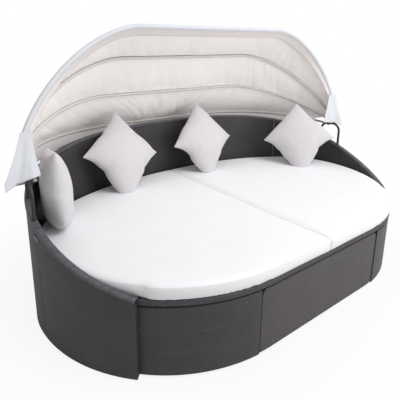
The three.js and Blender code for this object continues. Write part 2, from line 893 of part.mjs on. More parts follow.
// Each ring: inset, height and drawn-in seam, as shares of the roll, the thickness and the waist
const mattressRingShares = [
  [1, 0, 0],
  [0.25, 0.13, 0.5],
  [0, 0.3, 1],
  [0.2, 0.5, 1],
  [0, 0.7, 1],
  [0.25, 0.86, 0.5],
  [1, 1, 0],
];

function mattressEdge(distance) {
  const blend = THREE.MathUtils.smoothstep(wingFront - distance, 0, mattressBlend);
  return -mattressInset + (mattressOverhang + mattressInset) * blend;
}

function mattressRing(inset, z, waist) {
  const seam = mattressGap / 2 + inset;
  const front = oval.find("x", seam, 0, oval.rightEnd);
  const back = oval.find("x", seam, oval.rightEnd, oval.backMiddle);
  const ring = [];
  for (let i = 0; i <= mattressCurvePoints; i++) {
    const distance = front + ((back - front) * i) / mattressCurvePoints;
    ring.push(oval.at(distance, mattressEdge(distance) - inset, z));
  }
  const last = ring.at(-1);
  for (let i = 1; i < mattressSeamPoints; i++) {
    const share = i / mattressSeamPoints;
    const point = last.clone().lerp(ring[0], share);
    point.x = seam + waist * Math.sin(Math.PI * share);
    ring.push(point);
  }
  return ring;
}

function mattressHalf() {
  const edgeTop = mattressThickness - mattressCrown;
  const rings = mattressRingShares.map(([inset, height, waist]) =>
    mattressRing(inset * mattressRollInset, mattressBottom + height * edgeTop, waist * seamWaist),
  );
  const half = (mattressRollInset + mattressCrownInset) / 2;
  rings.push(mattressRing(half, mattressTop - mattressCrown / 4, 0));
  rings.push(mattressRing(mattressCrownInset, mattressTop, 0));
  return loft(rings);
}

addPair("mattress", mattressHalf(), mattressCloth);

// Scatter pillows: plump squares with pinched corners, set down on the mattress against the shell

const pillowCells = 10;
const pillowWaistShare = 0.09; // by which the sides are drawn in between the corners
const pillowProfileShare = 0.5; // lower is fuller towards the seams
const pillowPoses = [
  { name: "pillow_left_end", spotShares: [-0.77, 0.26], yaw: 78, lean: 3, spin: 8 },
  { name: "pillow_left_back", spotShares: [-0.4, 0.735], yaw: 4, lean: 27, spin: 52 },
  { name: "pillow_right_back", spotShares: [0.175, 0.74], yaw: 2, lean: 26, spin: 49.4 },
  { name: "pillow_right_end", spotShares: [0.762, 0.25], yaw: -46, lean: 30, spin: 39 },
];

function pillowBody() {
  const cells = pillowCells;
  const points = [];
  const index = new Map();
  const half = pillowSide / 2;
  const corner = (side, i, j) => {
    const border = i === 0 || j === 0 || i === cells || j === cells;
    const key = `${border ? 0 : side} ${i} ${j}`;
    if (!index.has(key)) {
      const s = Math.sin((i / cells - 0.5) * Math.PI);
      const t = Math.sin((j / cells - 0.5) * Math.PI);
      const x = half * s * (1 - pillowWaistShare * (1 - t * t) * s * s);
      const z = half * t * (1 - pillowWaistShare * (1 - s * s) * t * t);
      const swell = ((1 - s * s) * (1 - t * t)) ** pillowProfileShare;
      index.set(key, points.length);
      points.push(new THREE.Vector3(x, (side * swell * pillowThickness) / 2, z));
    }
    return index.get(key);
  };
  const triangles = [];
  for (const side of [1, -1]) {
    for (let i = 0; i < cells; i++) {
      for (let j = 0; j < cells; j++) {
        const [a, b] = [corner(side, i, j), corner(side, i + 1, j)];
        const [c, d] = [corner(side, i, j + 1), corner(side, i + 1, j + 1)];
        const even = i < cells / 2 === j < cells / 2;
        const pair = even ? [a, d, b, a, c, d] : [a, c, b, b, c, d];
        triangles.push(...(side > 0 ? pair : pair.reverse()));
      }
    }
  }
  return closedMesh(points, triangles);
}

// How far a point lies inside the seat oval, in plan
function roomInside(x, y) {
  const rooms = oval.points.map((from, i) => {
    const along = oval.corner(i + 1).clone().sub(from).normalize();
    return (y - from.y) * along.x - (x - from.x) * along.y;
  });
  return Math.min(...rooms);
}

// How far a point lies under the third hoop, wherever that hoop has folded to
function roomUnderHoop(x, y, z) {
  const back = y - pivotBack;
  const up = z - pivotHeight;
  if (back < 0 || up < 0) return Infinity;
  const radius = Math.max(Math.hypot(back, up) + hoopTube, hoopRoot);
  const { reach } = arches.third;
  return radius < reach ? arches.third.widthAt(radius) - Math.abs(x) - hoopTube : reach - radius;
}

// How far a point above the shell lies inside the pivot and the flap, where it is beside a bracket
function roomBesidePivot(x, y) {
  const beside = Math.abs(y - pivotBack) < bracketHalfWidth + bracketTube;
  return beside ? flapInside - Math.abs(x) : Infinity;
}

// Slides a pillow back until it touches the shell or would stop the hoops
function pillow({ spotShares, yaw, lean, spin }) {
  const geometry = pillowBody()
    .rotateY(spin * degrees)
    .rotateX(-lean * degrees)
    .rotateZ(yaw * degrees)
    .translate(spotShares[0] * halfLength, spotShares[1] * backReach, 0);
  geometry.computeBoundingBox();
  geometry.translate(0, 0, mattressTop + clearance - geometry.boundingBox.min.z);
  const p = geometry.getAttribute("position");
  const back = new THREE.Vector2(-Math.sin(yaw * degrees), Math.cos(yaw * degrees));
  const roomAt = (shift) => {
    let room = Infinity;
    for (let i = 0; i < p.count; i++) {
      const x = p.getX(i) + back.x * shift;
      const y = p.getY(i) + back.y * shift;
      const z = p.getZ(i);
      const walled = z < topLine(y) + railHeight;
      const beside = walled ? roomInside(x, y) : roomBesidePivot(x, y);
      room = Math.min(room, beside, roomUnderHoop(x, y, z));
    }
    return room;
  };
  let low = -pillowSide;
  let high = pillowSide;
  for (let i = 0; i < 18; i++) {
    const middle = (low + high) / 2;
    if (roomAt(middle) > clearance) low = middle;
    else high = middle;
  }
  return geometry.translate(back.x * low, back.y * low, 0);
}

for (const pose of pillowPoses) add(pose.name, pillow(pose), pillowCloth);

// Stool: a box with a woven front that follows the oval, pulled out to the front on its skids

const stoolRecess = 5; // behind the oval's front
const stoolPanelThickness = 22;
const stoolTopGap = 8; // below the rim
const stoolTop = rimBottom - stoolTopGap;
const stoolBottom = 12;
const stoolBoard = 14;
const stoolCorner = 24;
const stoolSideThickness = 18;
const skidWidth = 32;
const skidInset = 30;
const stoolFrontSteps = 16;
const cornerSteps = 6;

function stoolFront() {
  const end = oval.find("x", stoolHalfWidth, 0, oval.rightEnd);
  const stations = [];
  for (let i = 0; i <= cornerSteps; i++) {
    stations.push(-end + stoolCorner * (1 - Math.cos((i / cornerSteps) * (Math.PI / 2))));
  }
  const straight = end - stoolCorner;
  for (let i = 1; i < stoolFrontSteps; i++) {
    stations.push(-straight + (2 * straight * i) / stoolFrontSteps);
  }
  for (let i = cornerSteps; i >= 0; i--) stations.push(-stations[i]);
  const rings = stations.map((distance) => {
    const into = Math.max(0, Math.abs(distance) - straight);
    const top = stoolTop - stoolCorner + Math.sqrt(Math.max(0, stoolCorner ** 2 - into ** 2));
    return [
      oval.at(distance, -stoolRecess - stoolPanelThickness, stoolBottom),
      oval.at(distance, -stoolRecess, stoolBottom),
      oval.at(distance, -stoolRecess, top),
      oval.at(distance, -stoolRecess - stoolPanelThickness, top),
    ];
  });
  return loft(rings);
}

const stoolInside = ovalPrism(-stoolRecess - stoolPanelThickness - clearance, 0, backHeight);
const stoolBack = alcoveBack;
const sideHigh = stoolTop - stoolBoard - clearance;

add("stool_front", stoolFront(), rattanStool);
addPair(
  "stool_side",
  within(
    box(
      new THREE.Vector3(stoolHalfWidth - stoolSideThickness, -frontReach, stoolBottom),
      new THREE.Vector3(stoolHalfWidth, stoolBack, sideHigh),
    ),
    stoolInside,
  ),
  rattanStool,
);
add(
  "stool_rear",
  box(
    new THREE.Vector3(
      clearance + stoolSideThickness - stoolHalfWidth,
      stoolBack - stoolSideThickness,
      stoolBottom,
    ),
    new THREE.Vector3(stoolHalfWidth - stoolSideThickness - clearance, stoolBack, sideHigh),
  ),
  rattanStool,
);
const board = box(
  new THREE.Vector3(-stoolHalfWidth + stoolCorner, -frontReach, stoolTop - stoolBoard),
  new THREE.Vector3(stoolHalfWidth - stoolCorner, stoolBack, stoolTop),
);
add("stool_top", within(board, stoolInside), timber);
const skidOut = stoolHalfWidth - clearance;
addPair(
  "stool_skid",
  box(
    new THREE.Vector3(skidOut - skidWidth, -frontReach + stoolPanelThickness + skidInset, 0),
    new THREE.Vector3(skidOut, stoolBack - skidInset, stoolBottom - clearance),
  ),
  plastic,
);

// Sets the whole on the ground with the origin under its middle

const extent = new THREE.Box3().setFromObject(daybed);
const middle = extent.getCenter(new THREE.Vector3()).setZ(extent.min.z);
for (const piece of daybed.children) piece.position.sub(middle);

export default daybed;
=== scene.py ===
"""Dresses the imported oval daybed: wicker, mattresses, pillows, canopy, light and camera."""

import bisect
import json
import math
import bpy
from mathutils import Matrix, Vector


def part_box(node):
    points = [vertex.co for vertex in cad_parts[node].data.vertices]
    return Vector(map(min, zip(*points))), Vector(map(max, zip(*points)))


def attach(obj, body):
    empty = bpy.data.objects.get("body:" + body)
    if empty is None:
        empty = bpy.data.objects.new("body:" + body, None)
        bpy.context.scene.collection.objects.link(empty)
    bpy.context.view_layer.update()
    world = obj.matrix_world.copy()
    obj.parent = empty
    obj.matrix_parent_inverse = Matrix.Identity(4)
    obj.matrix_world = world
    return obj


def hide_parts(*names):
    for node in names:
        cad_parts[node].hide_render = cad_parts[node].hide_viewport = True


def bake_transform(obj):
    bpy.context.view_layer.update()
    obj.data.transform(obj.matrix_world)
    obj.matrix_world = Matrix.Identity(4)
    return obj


bl_info = {
    "name": "Oval Daybed Dressing",
    "version": (1, 0, 0),
    "blender": (4, 5, 0),
    "location": "View3D > Sidebar > Daybed",
    "description": "Weaves, upholsters and lights an oval garden daybed with a hooped canopy",
    "category": "Object",
}

import bmesh
import bpy
from bpy.props import FloatProperty, FloatVectorProperty, PointerProperty
from mathutils import Matrix, Vector, noise

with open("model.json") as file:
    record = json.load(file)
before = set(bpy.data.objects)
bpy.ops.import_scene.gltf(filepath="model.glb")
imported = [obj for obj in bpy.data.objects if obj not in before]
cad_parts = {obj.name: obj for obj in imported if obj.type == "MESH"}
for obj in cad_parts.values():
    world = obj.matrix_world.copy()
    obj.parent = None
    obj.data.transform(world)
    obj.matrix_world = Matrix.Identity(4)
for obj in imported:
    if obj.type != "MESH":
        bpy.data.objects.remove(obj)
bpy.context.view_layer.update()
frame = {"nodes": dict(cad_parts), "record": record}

# Places read from the frame

rim_low, rim_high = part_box("seat_rim")
rail_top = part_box("back_centre_rail")[1].z
mattress_low, mattress_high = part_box("mattress_right")
bolt_low, bolt_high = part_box("pivot_bolt_right")
pivot = Vector((0, (bolt_low.y + bolt_high.y) / 2, (bolt_low.z + bolt_high.z) / 2))

# The seat's outline and the shell round it

half_length = rim_high.x
front_reach = 0.7
back_reach = 0.622
front_flat = 0.36
front_fullness = 2.05
back_fullness = 2.2
widest_line = rim_low.y + front_reach
shell_gap = 0.0003
shell_thickness = 0.026
wing_front_top = 0.363
wing_front_line = 0.478
shell_bulge_share = 0.55
side_seam_front = 0.03
back_seam_right = 0.84
back_seam_left = 0.57
seam_gap = 0.003
panel_foot = 0.01
rail_height = 0.014
rail_overhang = 0.002
skirt_recess = 0.002
skirt_thickness = 0.022
groove = 0.006
alcove_half_width = 0.442
stool_half_width = 0.436
stool_recess = 0.005
stool_thickness = 0.022
stool_corner = 0.024

# The canopy's hoops: lean from upright in degrees, reach, half the width of the crown, fullness

hoop_sizes = {
    "front": (3.56, 0.647, 0.49, 1.7),
    "second": (32.55, 0.5705, 0.45, 1.7),
    "third": (61.2, 0.541, 0.48, 1.7),
    "rear": (math.degrees(math.acos((rail_top - 0.009 - pivot.z) / 0.666)), 0.666, 0.25, 2.3),
}
knuckle_length = 0.0144
hoop_root = 0.008
bend_share = 0.36
cloth_start = 0.04
cloth_stand_off = 0.0098
sleeve_foot_radius = 0.0074
fold_share = 0.18
cloth_step = 0.012


def tone(red, green, blue):
    """A linear colour from the three bytes of a screen colour."""
    shares = [value / 255 for value in (red, green, blue)]
    return tuple(s / 12.92 if s <= 0.04045 else ((s + 0.055) / 1.055) ** 2.4 for s in shares)


def colour(name, description, *value):
    return FloatVectorProperty(
        name=name, description=description, subtype="COLOR", size=3, min=0, max=1, default=tone(*value)
    )


def length(name, description, default):
    return FloatProperty(name=name, description=description, default=default, min=0, unit="LENGTH")


class WickerSizes(bpy.types.PropertyGroup):
    pitch: length("Strand pitch", "From strand to strand in the woven panels", 0.0074)
    relief: length("Relief", "How far a strand stands out of the weave", 0.0016)
    winding: length("Winding pitch", "From turn to turn round the rails and the rim", 0.0085)
    panels: colour("Panels", "Strands of the shell and the skirts", 49, 47, 50)
    stool: colour("Stool", "Strands of the nested stool", 64, 60, 60)
    # Lighter than the rim's strands of the same wicker: painted sheen where light catches the rail tops
    rails: colour("Rails", "Strands wound round the rails", 84, 82, 88)
    rim: colour("Rim", "Strands wound round the seat rim", 58, 57, 62)


class CushionSizes(bpy.types.PropertyGroup):
    pillow_side: length("Pillow side", "Between two corners of a filled pillow", 0.355)
    pillow_thickness: length("Pillow thickness", "Through the middle of a pillow", 0.138)
    pillow_sink: length("Pillow sink", "How far a pillow's lowest corner is pressed in", 0.08)
    mattress_swell: length("Mattress swell", "How far the filling may push the cover out", 0.004)
    mattress: colour("Mattress cloth", "Cover of both mattress halves", 246, 246, 249)
    pillow: colour("Pillow cloth", "Cover of the scatter pillows", 209, 206, 209)


class CanopySizes(bpy.types.PropertyGroup):
    crease: length("Crease height", "Height of the creases in the stretched panels", 0.009)
    pucker: length("Pucker height", "Height of the puckers beside each hoop", 0.006)
    hem_depth: length("Hem depth", "From the front hoop to the hem's lower edge", 0.055)
    flap_fold: length("Flap fold", "Depth of the folds in the hanging flaps", 0.015)
    cloth: colour("Canopy cloth", "Panels between the hoops", 250, 246, 243)
    # Darker and cooler than the canopy cloth: painted cool shade on the front sleeve and the flaps, which are
    # of the same cloth
    hem: colour("Hem cloth", "Front sleeve and flaps", 213, 215, 220)
    # Browner and darker than the canopy cloth: painted shade on the hem's inner band
    band: colour("Hem band", "Inner band of the front hem", 226, 218, 214)
    # Darker than the canopy cloth: painted shade along the three rear hoops
    pocket: colour("Pocket cloth", "Pockets of the three rear hoops", 216, 212, 210)


class StageSizes(bpy.types.PropertyGroup):
    ambient: FloatProperty(name="Ambient", description="Strength of the even light", default=0.52, min=0)
    key: FloatProperty(name="Key", description="Power of the main lamp in watts", default=98, min=0)
    fill: FloatProperty(name="Fill", description="Power of the side lamp in watts", default=40, min=0)


# Meshes


def added(name, data):
    """A new object in the scene."""
    thing = bpy.data.objects.new(name, data)
    bpy.context.scene.collection.objects.link(thing)
    return thing


def smooth(thing):
    for face in thing.data.polygons:
        face.use_smooth = True


def ripple(*place):
    """Smooth noise at a place, from about -1 to 1."""
    return noise.noise(Vector(place))


def mesh_object(name, points, faces, corners=None, crease=35):
    """A smooth mesh with sharp edges past the crease angle; corners holds a UV place per face corner."""
    mesh = bpy.data.meshes.new(name)
    mesh.from_pydata([tuple(point) for point in points], [], faces)
    if corners is not None:
        layer = mesh.uv_layers.new(name="UVMap")
        layer.data.foreach_set("uv", [value for corner in corners for value in corner])
    shell = bmesh.new()
    shell.from_mesh(mesh)
    bmesh.ops.recalc_face_normals(shell, faces=shell.faces)
    for face in shell.faces:
        face.smooth = True
    for edge in shell.edges:
        edge.smooth = edge.calc_face_angle(0) < math.radians(crease)
    shell.to_mesh(mesh)
    shell.free()
    return added(name, mesh)


def settle(thing):
    """Gives an object the mesh that its modifiers make, and takes them off."""
    graph = bpy.context.evaluated_depsgraph_get()
    made = bpy.data.meshes.new_from_object(thing.evaluated_get(graph), depsgraph=graph)
    rough = thing.data
    thing.modifiers.clear()
    thing.data = made
    bpy.data.meshes.remove(rough)
    return thing


def dress(thing, material, body, slot, *replaced):
    """Gives a finished piece its material and its body, and hides what it stands for; its slot is not used.
    """
    thing.data.materials.clear()
    thing.data.materials.append(material)
    if body is not None:
        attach(thing, body)
    if replaced:
        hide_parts(*replaced)
    return thing


def grid_faces(rows, columns, closed_rows=False):
    faces = []
    for i in range(rows if closed_rows else rows - 1):
        for j in range(columns - 1):
            a = i * columns + j
            b = ((i + 1) % rows) * columns + j
            faces.append((a, a + 1, b + 1, b))
    return faces


def cloth_object(name, grid, thickness=0.0012):
    """A sheet of cloth over a grid of points, with its UV map in metres along and across it."""
    rows, columns = len(grid), len(grid[0])
    middle_row, middle_column = grid[rows // 2], [row[columns // 2] for row in grid]
    along, across = [0.0], [0.0]
    for a, b in zip(middle_row, middle_row[1:]):
        along.append(along[-1] + (b - a).length)
    for a, b in zip(middle_column, middle_column[1:]):
        across.append(across[-1] + (b - a).length)
    points = [point for row in grid for point in row]
    faces = grid_faces(rows, columns)
    corners = [(along[k % columns], across[k // columns]) for face in faces for k in face]
    sheet = mesh_object(name, points, faces, corners, crease=70)
    solid = sheet.modifiers.new("Thickness", "SOLIDIFY")
    solid.thickness = thickness
    solid.offset = 0
    return settle(sheet)


def run(points):
    """The length of a line of points."""
    return sum((b - a).length for a, b in zip(points, points[1:]))


def middle_run(grid):
    """The length of a grid's middle column."""
    return run([row[len(row) // 2] for row in grid])


def ring_faces(rings, sides):
    """Faces between closed rings of points that follow each other."""
    faces = []
    for i in range(rings - 1):
        for j in range(sides):
            k = (j + 1) % sides
            faces.append((i * sides + j, (i + 1) * sides + j, (i + 1) * sides + k, i * sides + k))
    return faces


# The oval, walked from the middle of its front towards +X first


class Oval:
    def __init__(self, steps=240):
        right = [(0.0, -front_reach)]
        for i in range(steps + 1):
            right.append(self.corner(front_flat, -front_reach, front_fullness, 1 - i / steps))
        for i in range(1, steps + 1):
            right.append(self.corner(0.0, back_reach, back_fullness, i / steps))
        left = [(-x, y) for x, y in reversed(right[:-1])]
        self.points = [Vector((x, y + widest_line)) for x, y in right + left]
        self.runs = [0.0]
        for a, b in zip(self.points, self.points[1:]):
            self.runs.append(self.runs[-1] + (b - a).length)
        self.total = self.runs[-1]
        self.right_end = self.runs[steps + 1]
        self.back = self.total / 2

    @staticmethod
    def corner(flat, reach, fullness, share):
        angle = share * math.pi / 2
        x = flat + (half_length - flat) * max(math.cos(angle), 0) ** (2 / fullness)
        return x, reach * math.sin(angle) ** (2 / fullness)

    def place(self, distance):
        distance = distance % self.total
        k = min(bisect.bisect_right(self.runs, distance), len(self.runs) - 1)
        share = (distance - self.runs[k - 1]) / max(self.runs[k] - self.runs[k - 1], 1e-9)
        return self.points[k - 1].lerp(self.points[k], share)

    def at(self, distance, offset=0.0, z=0.0):
        """A point at a distance along the oval, set off outwards from it."""
        reach = 0.004
        along = (self.place(distance + reach) - self.place(distance - reach)).normalized()
        point = self.place(distance)
        return Vector((point.x + along.y * offset, point.y - along.x * offset, z))

    def find(self, axis, value, start, stop):
        """The distance at which the outline crosses a value, between two others."""
        rising = self.place(stop)[axis] > self.place(start)[axis]
        halvings = 40
        for _ in range(halvings):
            middle = (start + stop) / 2
            if (self.place(middle)[axis] < value) == rising:
                start = middle
            else:
                stop = middle
        return (start + stop) / 2


oval = Oval()
wing_front = oval.find(1, widest_line - wing_front_line, 0, oval.right_end)
side_seam = oval.find(1, widest_line - side_seam_front, 0, oval.right_end)
seam_right = oval.find(0, back_seam_right, oval.right_end, oval.back)
seam_left = oval.find(0, -back_seam_left, oval.back, oval.total - oval.right_end)
shell_runs = {
    "wing_right": (wing_front, side_seam - seam_gap / 2),
    "back_right": (side_seam + seam_gap / 2, seam_right - seam_gap / 2),
    "back_centre": (seam_right + seam_gap / 2, seam_left - seam_gap / 2),
    "back_left": (seam_left + seam_gap / 2, oval.total - side_seam - seam_gap / 2),
    "wing_left": (oval.total - side_seam + seam_gap / 2, oval.total - wing_front),
}


def shell_top(distance):
    """The sweep of the shell's top line, from the wings' fronts up to the back."""
    rise = oval.place(distance).y - widest_line + wing_front_line
    rise = max(0, rise / (back_reach + wing_front_line))
    eased = rise + shell_bulge_share * rise**3 * (1 - rise)
    return wing_front_top + (rail_top - wing_front_top) * eased


def band(name, start, stop, section, step=0.012, joined=False):
    """Sweeps a closed section along the oval; the UV map runs in metres along it and up it."""
    count = max(2, round((stop - start) / step))
    places = [start + (stop - start) * i / count for i in range(count + 1)]
    rings = [section(distance) for distance in places]
    size = len(rings[0])
    points, faces, corners = [], [], []
    for distance, ring in zip(places[:-1] if joined else places, rings):
        points += [oval.at(distance, offset, z) for offset, z in ring]
    for i in range(count):
        here, after = i * size, ((i + 1) % count if joined else i + 1) * size
        for j in range(size):
            k = (j + 1) % size
            faces.append((here + j, after + j, after + k, here + k))
            for station, vertex in ((i, j), (i + 1, j), (i + 1, k), (i, k)):
                offset, z = rings[station][vertex]
                corners.append((places[station], z - offset))
    if not joined:
        for station, order in ((0, range(size)), (count, range(size - 1, -1, -1))):
            faces.append(tuple(station * size + j for j in order))
            corners += [rings[station][j] for j in order]
    return mesh_object(name, points, faces, corners)


# The hoops


class Hoop:
    def __init__(self, name):
        lean, self.reach, self.crown, self.fullness = hoop_sizes[name]
        self.lean = math.radians(lean)
        self.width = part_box(f"hoop_{name}")[1].x - knuckle_length / 2

    def flat_place(self, share):
        """Across and up in the hoop's own plane."""
        side = 1 if share < 0.5 else -1
        turn = min(share, 1 - share) / bend_share
        if turn >= 1:
            return self.crown * (0.5 - share) / (0.5 - bend_share), self.reach
        angle = turn * math.pi / 2
        x = self.crown + (self.width - self.crown) * math.cos(angle) ** (2 / self.fullness)
        return side * x, hoop_root + (self.reach - hoop_root) * math.sin(angle) ** (2 / self.fullness)

    def outward(self, share):
        """The direction away from the hoop's inside, in its plane."""
        before, after = self.flat_place(max(share - 0.002, 0)), self.flat_place(min(share + 0.002, 1))
        x, z = after[0] - before[0], after[1] - before[1]
        size = math.hypot(x, z)
        return z / size, -x / size

    def lift(self, x, forward, z):
        """A place in the hoop's plane, carried to where the hoop stands."""
        y = -forward * math.cos(self.lean) + z * math.sin(self.lean)
        height = forward * math.sin(self.lean) + z * math.cos(self.lean)
        return pivot + Vector((x, y, height))

    def at(self, share, outward=0.0, forward=0.0):
        x, z = self.flat_place(share)
        across, up = self.outward(share)
        return self.lift(x + across * outward, forward, z + up * outward)

    def width_at(self, height):
        rise = (height - hoop_root) / (self.reach - hoop_root)
        return self.crown + (self.width - self.crown) * (1 - rise**self.fullness) ** (1 / self.fullness)


hoops = {name: Hoop(name) for name in hoop_sizes}


def even_shares(hoop, start, stop, step):
    """Shares of a hoop's run that lie a step apart along it."""
    parts = 900
    fine = [start + (stop - start) * i / parts for i in range(parts + 1)]
    runs = [0.0]
    for a, b in zip(fine, fine[1:]):
        runs.append(runs[-1] + (hoop.at(b) - hoop.at(a)).length)
    count = round(runs[-1] / step)
    shares = []
    for i in range(count + 1):
        k = min(bisect.bisect_left(runs, runs[-1] * i / count), parts)
        shares.append(fine[k])
    return shares


# Shader nodes


def node(tree, kind, inputs=None, **settings):
    """Adds a node; an input is given as a value or as the socket that feeds it."""
    made = tree.nodes.new(kind)
    for key, value in settings.items():
        setattr(made, key, value)
    for key, value in (inputs or {}).items():
        if isinstance(value, bpy.types.NodeSocket):
            tree.links.new(value, made.inputs[key])
        else:
            made.inputs[key].default_value = value
    return made


def maths(tree, operation, *values):
    return node(tree, "ShaderNodeMath", dict(enumerate(values)), operation=operation).outputs[0]


def coordinates(tree, source):
    return node(tree, "ShaderNodeTexCoord").outputs[source]


def scaled(tree, paint, level):
    """A colour made lighter or darker by a level."""
    return node(tree, "ShaderNodeVectorMath", {0: paint, "Scale": level}, operation="SCALE").outputs[0]


def blank_group(name, inputs, outputs):
    tree = bpy.data.node_groups.new(name, "ShaderNodeTree")
    for label, kind, default in inputs:
        socket = tree.interface.new_socket(label, in_out="INPUT", socket_type=kind)
        if default is not None:
            socket.default_value = default
    for label, kind in outputs:
        tree.interface.new_socket(label, in_out="OUTPUT", socket_type=kind)
    return tree, node(tree, "NodeGroupInput"), node(tree, "NodeGroupOutput")


def weave_group():
    """Strands that pass over and under each other: their height, and a random tone for each."""
    number, vector = "NodeSocketFloat", "NodeSocketVector"
    tree, given, result = blank_group(
        "Plain weave",
        [
            ("Vector", vector, None),
            ("Pitch", number, 0.008),
            ("Stake width", number, 1.0),
            ("Stake spacing", number, 1.0),
        ],
        [("Height", number), ("Tone", number)],
    )
    split = node(tree, "ShaderNodeSeparateXYZ", {0: given.outputs["Vector"]})
    spacing = maths(tree, "MULTIPLY", given.outputs["Pitch"], given.outputs["Stake spacing"])
    u = maths(tree, "DIVIDE", split.outputs[0], spacing)
    v = maths(tree, "DIVIDE", split.outputs[1], given.outputs["Pitch"])
    heights, indices = [], []
    width = given.outputs["Stake width"]
    half_wave = 0.499  # just under a half, so that no root is taken of less than nothing
    for run_along, run_across, sign, wide in ((u, v, 1, 1.0), (v, u, -1, width)):
        index = maths(tree, "FLOOR", run_across)
        inside = maths(tree, "SUBTRACT", maths(tree, "FRACT", run_across), 0.5)
        inside = maths(tree, "DIVIDE", inside, wide)
        arch = maths(tree, "SUBTRACT", 1, maths(tree, "MULTIPLY", maths(tree, "MULTIPLY", inside, inside), 4))
        arch = maths(tree, "SQRT", maths(tree, "MAXIMUM", arch, 0))
        phase = maths(tree, "ADD", maths(tree, "SUBTRACT", run_along, 0.5), index)
        wave = maths(tree, "COSINE", maths(tree, "MULTIPLY", phase, math.pi))
        over = maths(tree, "SQRT", maths(tree, "MULTIPLY_ADD", wave, half_wave * sign, 0.5))
        heights.append(maths(tree, "MULTIPLY", maths(tree, "MULTIPLY", arch, over), wide))
        indices.append(index)
    which = maths(tree, "GREATER_THAN", heights[0], heights[1])
    seed = node(tree, "ShaderNodeMix", {0: which, 2: indices[1], 3: indices[0]}, data_type="FLOAT")
    place = node(tree, "ShaderNodeCombineXYZ", {0: seed.outputs[0], 1: which})
    random = node(tree, "ShaderNodeTexWhiteNoise", {"Vector": place.outputs[0]}, noise_dimensions="2D")
    tree.links.new(maths(tree, "MAXIMUM", *heights), result.inputs["Height"])
    tree.links.new(random.outputs["Value"], result.inputs["Tone"])
    return tree


def mottle_group():
    """A colour that varies softly over the surface in patches and in fine grain."""
    number, vector, paint = "NodeSocketFloat", "NodeSocketVector", "NodeSocketColor"
    tree, given, result = blank_group(
        "Mottle",
        [("Vector", vector, None), ("Color", paint, None), ("Size", number, 0.1), ("Depth", number, 0.1)],
        [("Color", paint), ("Grain", number)],
    )
    finer, grain_share = 24, 0.35
    middle = 0.5 + grain_share / 2
    place = given.outputs["Vector"]
    scale = maths(tree, "DIVIDE", 1, given.outputs["Size"])
    patches = node(tree, "ShaderNodeTexNoise", {"Vector": place, "Scale": scale, "Detail": 4.0})
    scale = maths(tree, "MULTIPLY", scale, finer)
    grain = node(tree, "ShaderNodeTexNoise", {"Vector": place, "Scale": scale, "Detail": 3.0})
    both = maths(tree, "MULTIPLY_ADD", grain.outputs[0], grain_share, patches.outputs[0])
    level = maths(tree, "MULTIPLY_ADD", maths(tree, "SUBTRACT", both, middle), given.outputs["Depth"], 1)
    tree.links.new(scaled(tree, given.outputs["Color"], level), result.inputs["Color"])
    tree.links.new(grain.outputs[0], result.inputs["Grain"])
    return tree


groups = {}


def group(tree, name, inputs):
    """Places a shared node group, which is built the first time it is asked for."""
    if name not in groups:
        groups[name] = {"weave": weave_group, "mottle": mottle_group}[name]()
    return node(tree, "ShaderNodeGroup", inputs, node_tree=groups[name])


def blank_material(name, metallic=0.0, roughness=0.6, **plain):
    """A material with a Principled shader whose uniform values are set on its own sockets."""
    material = bpy.data.materials.new(name)
    material.use_nodes = True
    tree = material.node_tree
    shader = tree.nodes["Principled BSDF"]
    shader.inputs["Metallic"].default_value = metallic
    shader.inputs["Roughness"].default_value = roughness
    for key, value in plain.items():
        shader.inputs[key.replace("_", " ")].default_value = value
    return material, tree, shader


def bump(tree, shader, height, distance, strength=1.0):
    relief = node(tree, "ShaderNodeBump", {"Height": height, "Distance": distance, "Strength": strength})
    tree.links.new(relief.outputs[0], shader.inputs["Normal"])


def rgba(value):
    return (*value, 1.0)


def wicker(name, shade, pitch, relief, on_surface=True):
    """Woven synthetic strands, some of them browner, with painted highlight on the strand crowns and painted
    shade in the gaps; a flat panel is read by its own place.
    """
    material, tree, shader = blank_material(name, roughness=0.5)
    if on_surface:
        place = coordinates(tree, "UV")
    else:
        split = node(tree, "ShaderNodeSeparateXYZ", {0: coordinates(tree, "Object")})
        flat = maths(tree, "ADD", split.outputs[0], split.outputs[1])
        place = node(tree, "ShaderNodeCombineXYZ", {0: flat, 1: split.outputs[2]}).outputs[0]
    stake_width, stake_spacing = 0.55, 1.3
    patch, depth = 0.16, 0.6
    tone_share, tone_floor = 0.5, 0.75
    # Painted light: strand crowns are lightened as highlight and the gaps between strands darkened as shade
    painted_crown_highlight, painted_gap_shade = 1.3, 0.1
    browner, brown_fall, most_brown = (1.14, 0.98, 0.94), 2.5, 0.8
    rough_share, smoothest = 0.2, 0.38
    sizes = {"Vector": place, "Pitch": pitch, "Stake width": stake_width, "Stake spacing": stake_spacing}
    woven = group(tree, "weave", sizes)
    own, height = woven.outputs["Tone"], woven.outputs["Height"]
    mottled = group(tree, "mottle", {"Vector": place, "Color": rgba(shade), "Size": patch, "Depth": depth})
    level = maths(tree, "MULTIPLY_ADD", own, tone_share, tone_floor)
    # Painted highlight on the crowns and painted shade in the gaps, from the weave's height
    level = maths(tree, "MULTIPLY", level, maths(tree, "MULTIPLY_ADD", height, painted_crown_highlight, painted_gap_shade))
    lit = scaled(tree, mottled.outputs["Color"], level)
    brown = node(tree, "ShaderNodeVectorMath", {0: lit, 1: browner}, operation="MULTIPLY").outputs[0]
    share = maths(tree, "MULTIPLY", maths(tree, "POWER", own, brown_fall), most_brown)
    dyed = node(tree, "ShaderNodeMix", {0: share, 6: lit, 7: brown}, data_type="RGBA")
    tree.links.new(dyed.outputs[2], shader.inputs["Base Color"])
    rough = maths(tree, "MULTIPLY_ADD", own, rough_share, smoothest)
    tree.links.new(rough, shader.inputs["Roughness"])
    bump(tree, shader, height, relief, 0.9)
    return material


